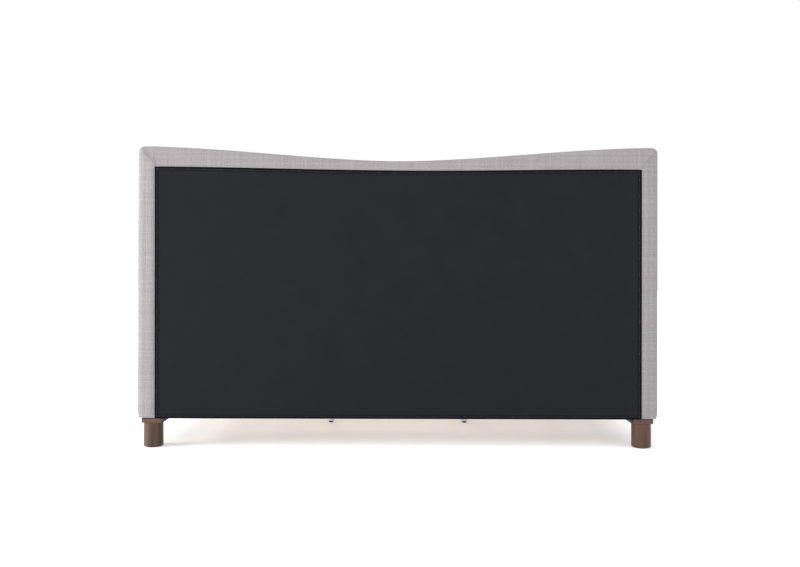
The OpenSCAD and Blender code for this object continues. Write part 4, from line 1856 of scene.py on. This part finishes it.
@dataclass
class Legs:
    """The four turned legs with their plates, glides and the black wedges."""

    shop: Workshop
    bevel: float = 0.003

    def build(self) -> None:
        """Turns the legs, eases the plates and wedges, and gives the glides and bolts their finishes."""
        palette = self.shop.palette
        for end in ("rear", "front"):
            for side in Side:
                node = f"{end}_{side.word}_leg"
                self.turn(node)
                palette.dress(eased_copy(f"{node}_plate", 0.0022, 3), "stained_walnut_plate")
        palette.dress_node("leg_glides", "black_rubber")
        palette.dress(eased_copy("rear_glue_blocks", 0.0008), "black_paint")
        palette.dress_node("leg_bolts", "bright_zinc")

    def turn(self, node: str) -> None:
        """Turns one leg.

        Args:
            node: the leg's node.
        """
        low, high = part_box(node)
        centre, far, heights = round_sizes(node)
        foot_r, head_r = (high.x - low.x) / 2, float(far[heights > high.z - 0.001].max())
        span, b, chamfer = high.z - low.z, self.bevel, 0.0015
        edge = [(foot_r - b * (1 - math.sin(a)), low.z + b * (1 - math.cos(a)))
                for a in (math.pi / 2 * i / 5 for i in range(6))]
        shaft = [(foot_r + (head_r - foot_r) * t, low.z + b + (span - b - chamfer) * t)
                 for t in (0.25, 0.5, 0.75, 1.0)]
        profile = [*edge, *shaft, (head_r - 0.0012, high.z)]
        leg = turned(f"{node}_turned", centre, profile, 96)
        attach(leg, FRAME_BODY)
        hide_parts(node)
        self.shop.palette.dress(leg, "stained_walnut")


@dataclass
class CentreSupport:
    """A steel support leg with the foot that screws in and out of it."""

    shop: Workshop
    side: Side
    steps_round: int = 64
    pad_edge: float = 0.0012

    def build(self) -> None:
        """Turns the foot and its pad, and finishes the tube."""
        word, palette = self.side.word, self.shop.palette
        palette.dress_node(f"{word}_support_leg", "bright_zinc")
        foot_node = f"{word}_levelling_foot"
        low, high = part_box(f"{word}_foot_pad")
        radius, edge = (high.x - low.x) / 2, self.pad_edge
        pad_profile = [(radius - edge, low.z), (radius, low.z + edge), (radius, high.z - edge),
                       (radius - edge, high.z)]
        centre = round_sizes(foot_node)[0]
        profile = self.foot_profile(foot_node, radius)
        foot = turned(f"{word}_foot_turned", centre, profile, self.steps_round)
        pad = turned(f"{word}_pad_turned", centre, pad_profile, self.steps_round)
        body = body_of_node(foot_node)
        dressed = ((foot, "levelling_foot", "bright_zinc"), (pad, "foot_pad", "black_rubber"))
        for piece, node, finish in dressed:
            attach(piece, body)
            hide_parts(f"{word}_{node}")
            palette.dress(piece, finish)

    @staticmethod
    def foot_profile(node: str, pad_r: float) -> list[tuple[float, float]]:
        """Works out the foot's profile: a cup that stands on the pad, a nut and the stem.

        Args:
            node: the foot's node.
            pad_r: the pad's radius.

        Returns:
            Radius and height, lowest first.
        """
        low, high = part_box(node)
        _, far, heights = round_sizes(node)
        cup_r = (high.x - low.x) / 2
        cup_top = float(heights[far > cup_r * 0.8].max())
        shoulder = float(heights[far > cup_r * 0.99].min())
        stem_r = float(far[heights > high.z - 0.001].max())
        nut_top = float(heights[far > stem_r * 1.3].max())
        quarter = [math.pi / 2 * i / 8 for i in range(9)]
        curve = [(pad_r + (cup_r - pad_r) * math.sin(a), low.z + (shoulder - low.z) * (1 - math.cos(a)))
                 for a in quarter]
        rim = [(cup_r, cup_top - 0.002), (cup_r - 0.0006, cup_top - 0.0006), (cup_r - 0.002, cup_top),
               (stem_r * 1.5, cup_top)]
        nut = [(stem_r * 1.75, cup_top + 0.0003), (stem_r * 1.8, cup_top + 0.001),
               (stem_r * 1.8, nut_top - 0.001), (stem_r * 1.6, nut_top)]
        stem = [(stem_r, nut_top), (stem_r, high.z - 0.001), (stem_r - 0.001, high.z)]
        return [*curve, *rim, *nut, *stem]


@dataclass
class Carcass:
    """The hidden frame timbers, boards, blocks, brackets and bolts."""

    shop: Workshop

    def dress(self) -> None:
        """Gives each frame node that is left its finish."""
        palette = self.shop.palette
        by_finish = {
            "planed_pine_z": ("back_left_post", "back_right_post", "back_left_stile", "back_right_stile"),
            "planed_pine_x": ("back_top_rail", "back_bottom_rail", "back_seat_rail", "front_rail"),
            "planed_pine_y": ("left_arm_base_rail", "right_arm_base_rail"),
            "plywood": ("back_board", "left_arm_panel", "right_arm_panel"),
            "bright_zinc": ("frame_bolts",),
            "black_nylon": ("support_leg_inserts",),
        }
        for finish, nodes in by_finish.items():
            for node in nodes:
                palette.dress_node(node, finish)
            log.info("%s: %s", finish, ", ".join(nodes))
        palette.dress(eased_copy("front_corner_blocks", 0.0018), "planed_pine_z")
        palette.dress(eased_copy("rear_corner_brackets", 0.0006), "bright_zinc")


# Studio


@dataclass(frozen=True)
class Lamp:
    """A square soft light: where it hangs, what it faces, its width and its power in watts."""

    name: str
    place: tuple[float, float, float]
    target: tuple[float, float, float]
    size: float
    power: float

    def hang(self) -> None:
        """Hangs the light."""
        light = bpy.data.lights.new(self.name, "AREA")
        light.size, light.energy = self.size, self.power
        holder = link(bpy.data.objects.new(self.name, light))
        holder.location = self.place
        aim = Vector(self.target) - Vector(self.place)
        holder.rotation_euler = aim.to_track_quat("-Z", "Y").to_euler()


@dataclass
class Studio:
    """A pale floor, soft light and the camera behind the daybed."""

    distance: float = 3.2
    eye: float = 0.682
    focal_share: float = 1.0240
    rise: float = -0.0192
    turn: tuple[float, float, float] = (0.0068, 0.003, -0.0024)
    floor_half: float = 30.0
    floor_shade: float = 0.95
    floor_glow: float = 0.2
    lamps: tuple[Lamp, ...] = (
        Lamp("key", (5.6, 1.75, 1.5), (0.6, 0.5, 0.6), 2.2, 270.0),
        Lamp("fill", (-2.5, 4.6, 1.9), (-0.2, 0.5, 0.5), 2.6, 14.0),
        Lamp("front", (1.8, -4.5, 2.6), (0.0, 0.0, 0.5), 2.6, 110.0),
    )
    sun_towards: tuple[float, float, float] = (0.3, 0.3, 1.0)
    sun_spread: float = 70.0
    sun_strength: float = 0.8

    def build(self) -> None:
        """Builds the floor, the light and the camera."""
        bpy.context.scene.view_settings.view_transform = "Standard"
        self.lay_floor()
        self.light_world()
        for lamp in self.lamps:
            lamp.hang()
        self.hang_sun()
        self.set_camera()

    def set_camera(self) -> None:
        """Sets the camera level behind the daybed, with a small turn, roll and swing."""
        camera = bpy.data.cameras.new("camera")
        camera.sensor_width = 36.0
        camera.lens = camera.sensor_width * self.focal_share
        camera.shift_y = self.rise
        holder = link(bpy.data.objects.new("camera", camera))
        holder.location = (0.0, CAD_BOX[1].y + self.distance, self.eye)
        tilt, roll, swing = self.turn
        level = Euler((math.pi / 2 + tilt, 0.0, math.pi + swing)).to_matrix()
        holder.rotation_euler = (level @ Matrix.Rotation(roll, 3, "Z")).to_euler()
        bpy.context.scene.camera = holder

    def lay_floor(self) -> None:
        """Lays the floor."""
        half = self.floor_half
        corners = [(-half, -half, 0), (half, -half, 0), (half, half, 0), (-half, half, 0)]
        mesh = bpy.data.meshes.new("floor")
        mesh.from_pydata(corners, [], [(0, 1, 2, 3)])
        floor = link(bpy.data.objects.new("floor", mesh))
        material = bpy.data.materials.new("floor")
        material.use_nodes = True
        set_sockets(material.node_tree.nodes["Principled BSDF"], {
            "Base Color": (self.floor_shade, self.floor_shade, self.floor_shade, 1.0), "Roughness": 0.8,
            "Specular IOR Level": 0.0, "Emission Color": (1.0, 1.0, 1.0, 1.0),
            "Emission Strength": self.floor_glow,
        })
        mesh.materials.append(material)
        floor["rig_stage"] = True

    @staticmethod
    def light_world() -> None:
        """Makes an even white surround."""
        world = bpy.data.worlds.new("studio")
        world.use_nodes = True
        set_sockets(world.node_tree.nodes["Background"], {"Color": (1.0, 1.0, 1.0, 1.0), "Strength": 1.0})
        bpy.context.scene.world = world

    def hang_sun(self) -> None:
        """Hangs a wide soft sun, which keeps the floor pale out to its edge."""
        sun = bpy.data.lights.new("overhead", "SUN")
        sun.energy, sun.angle = self.sun_strength, math.radians(self.sun_spread)
        holder = link(bpy.data.objects.new("overhead", sun))
        holder.rotation_euler = Vector(self.sun_towards).to_track_quat("Z", "Y").to_euler()


def write_sizes() -> None:
    """Works out the frame's box and the finished daybed's box, and keeps neither."""
    boxes = {"cad": CAD_BOX, "visual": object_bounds()}
    {name: [list(corner) for corner in box] for name, box in boxes.items()}


def main() -> None:
    """Builds the daybed's looks, sub-assembly by sub-assembly, and then the studio."""
    logging.basicConfig(level=logging.INFO, format="%(message)s", stream=sys.stdout)
    shop = Workshop(Palette(), build_dashes(), build_boards(), build_screws())
    Studio().build()
    Back(shop).build()
    for side in Side:
        Arm(shop, side).build()
    FrontRail(shop).build()
    Deck(shop).build()
    Legs(shop).build()
    for side in Side:
        CentreSupport(shop, side).build()
    Carcass(shop).dress()
    write_sizes()


if __name__ == "__main__":
    main()
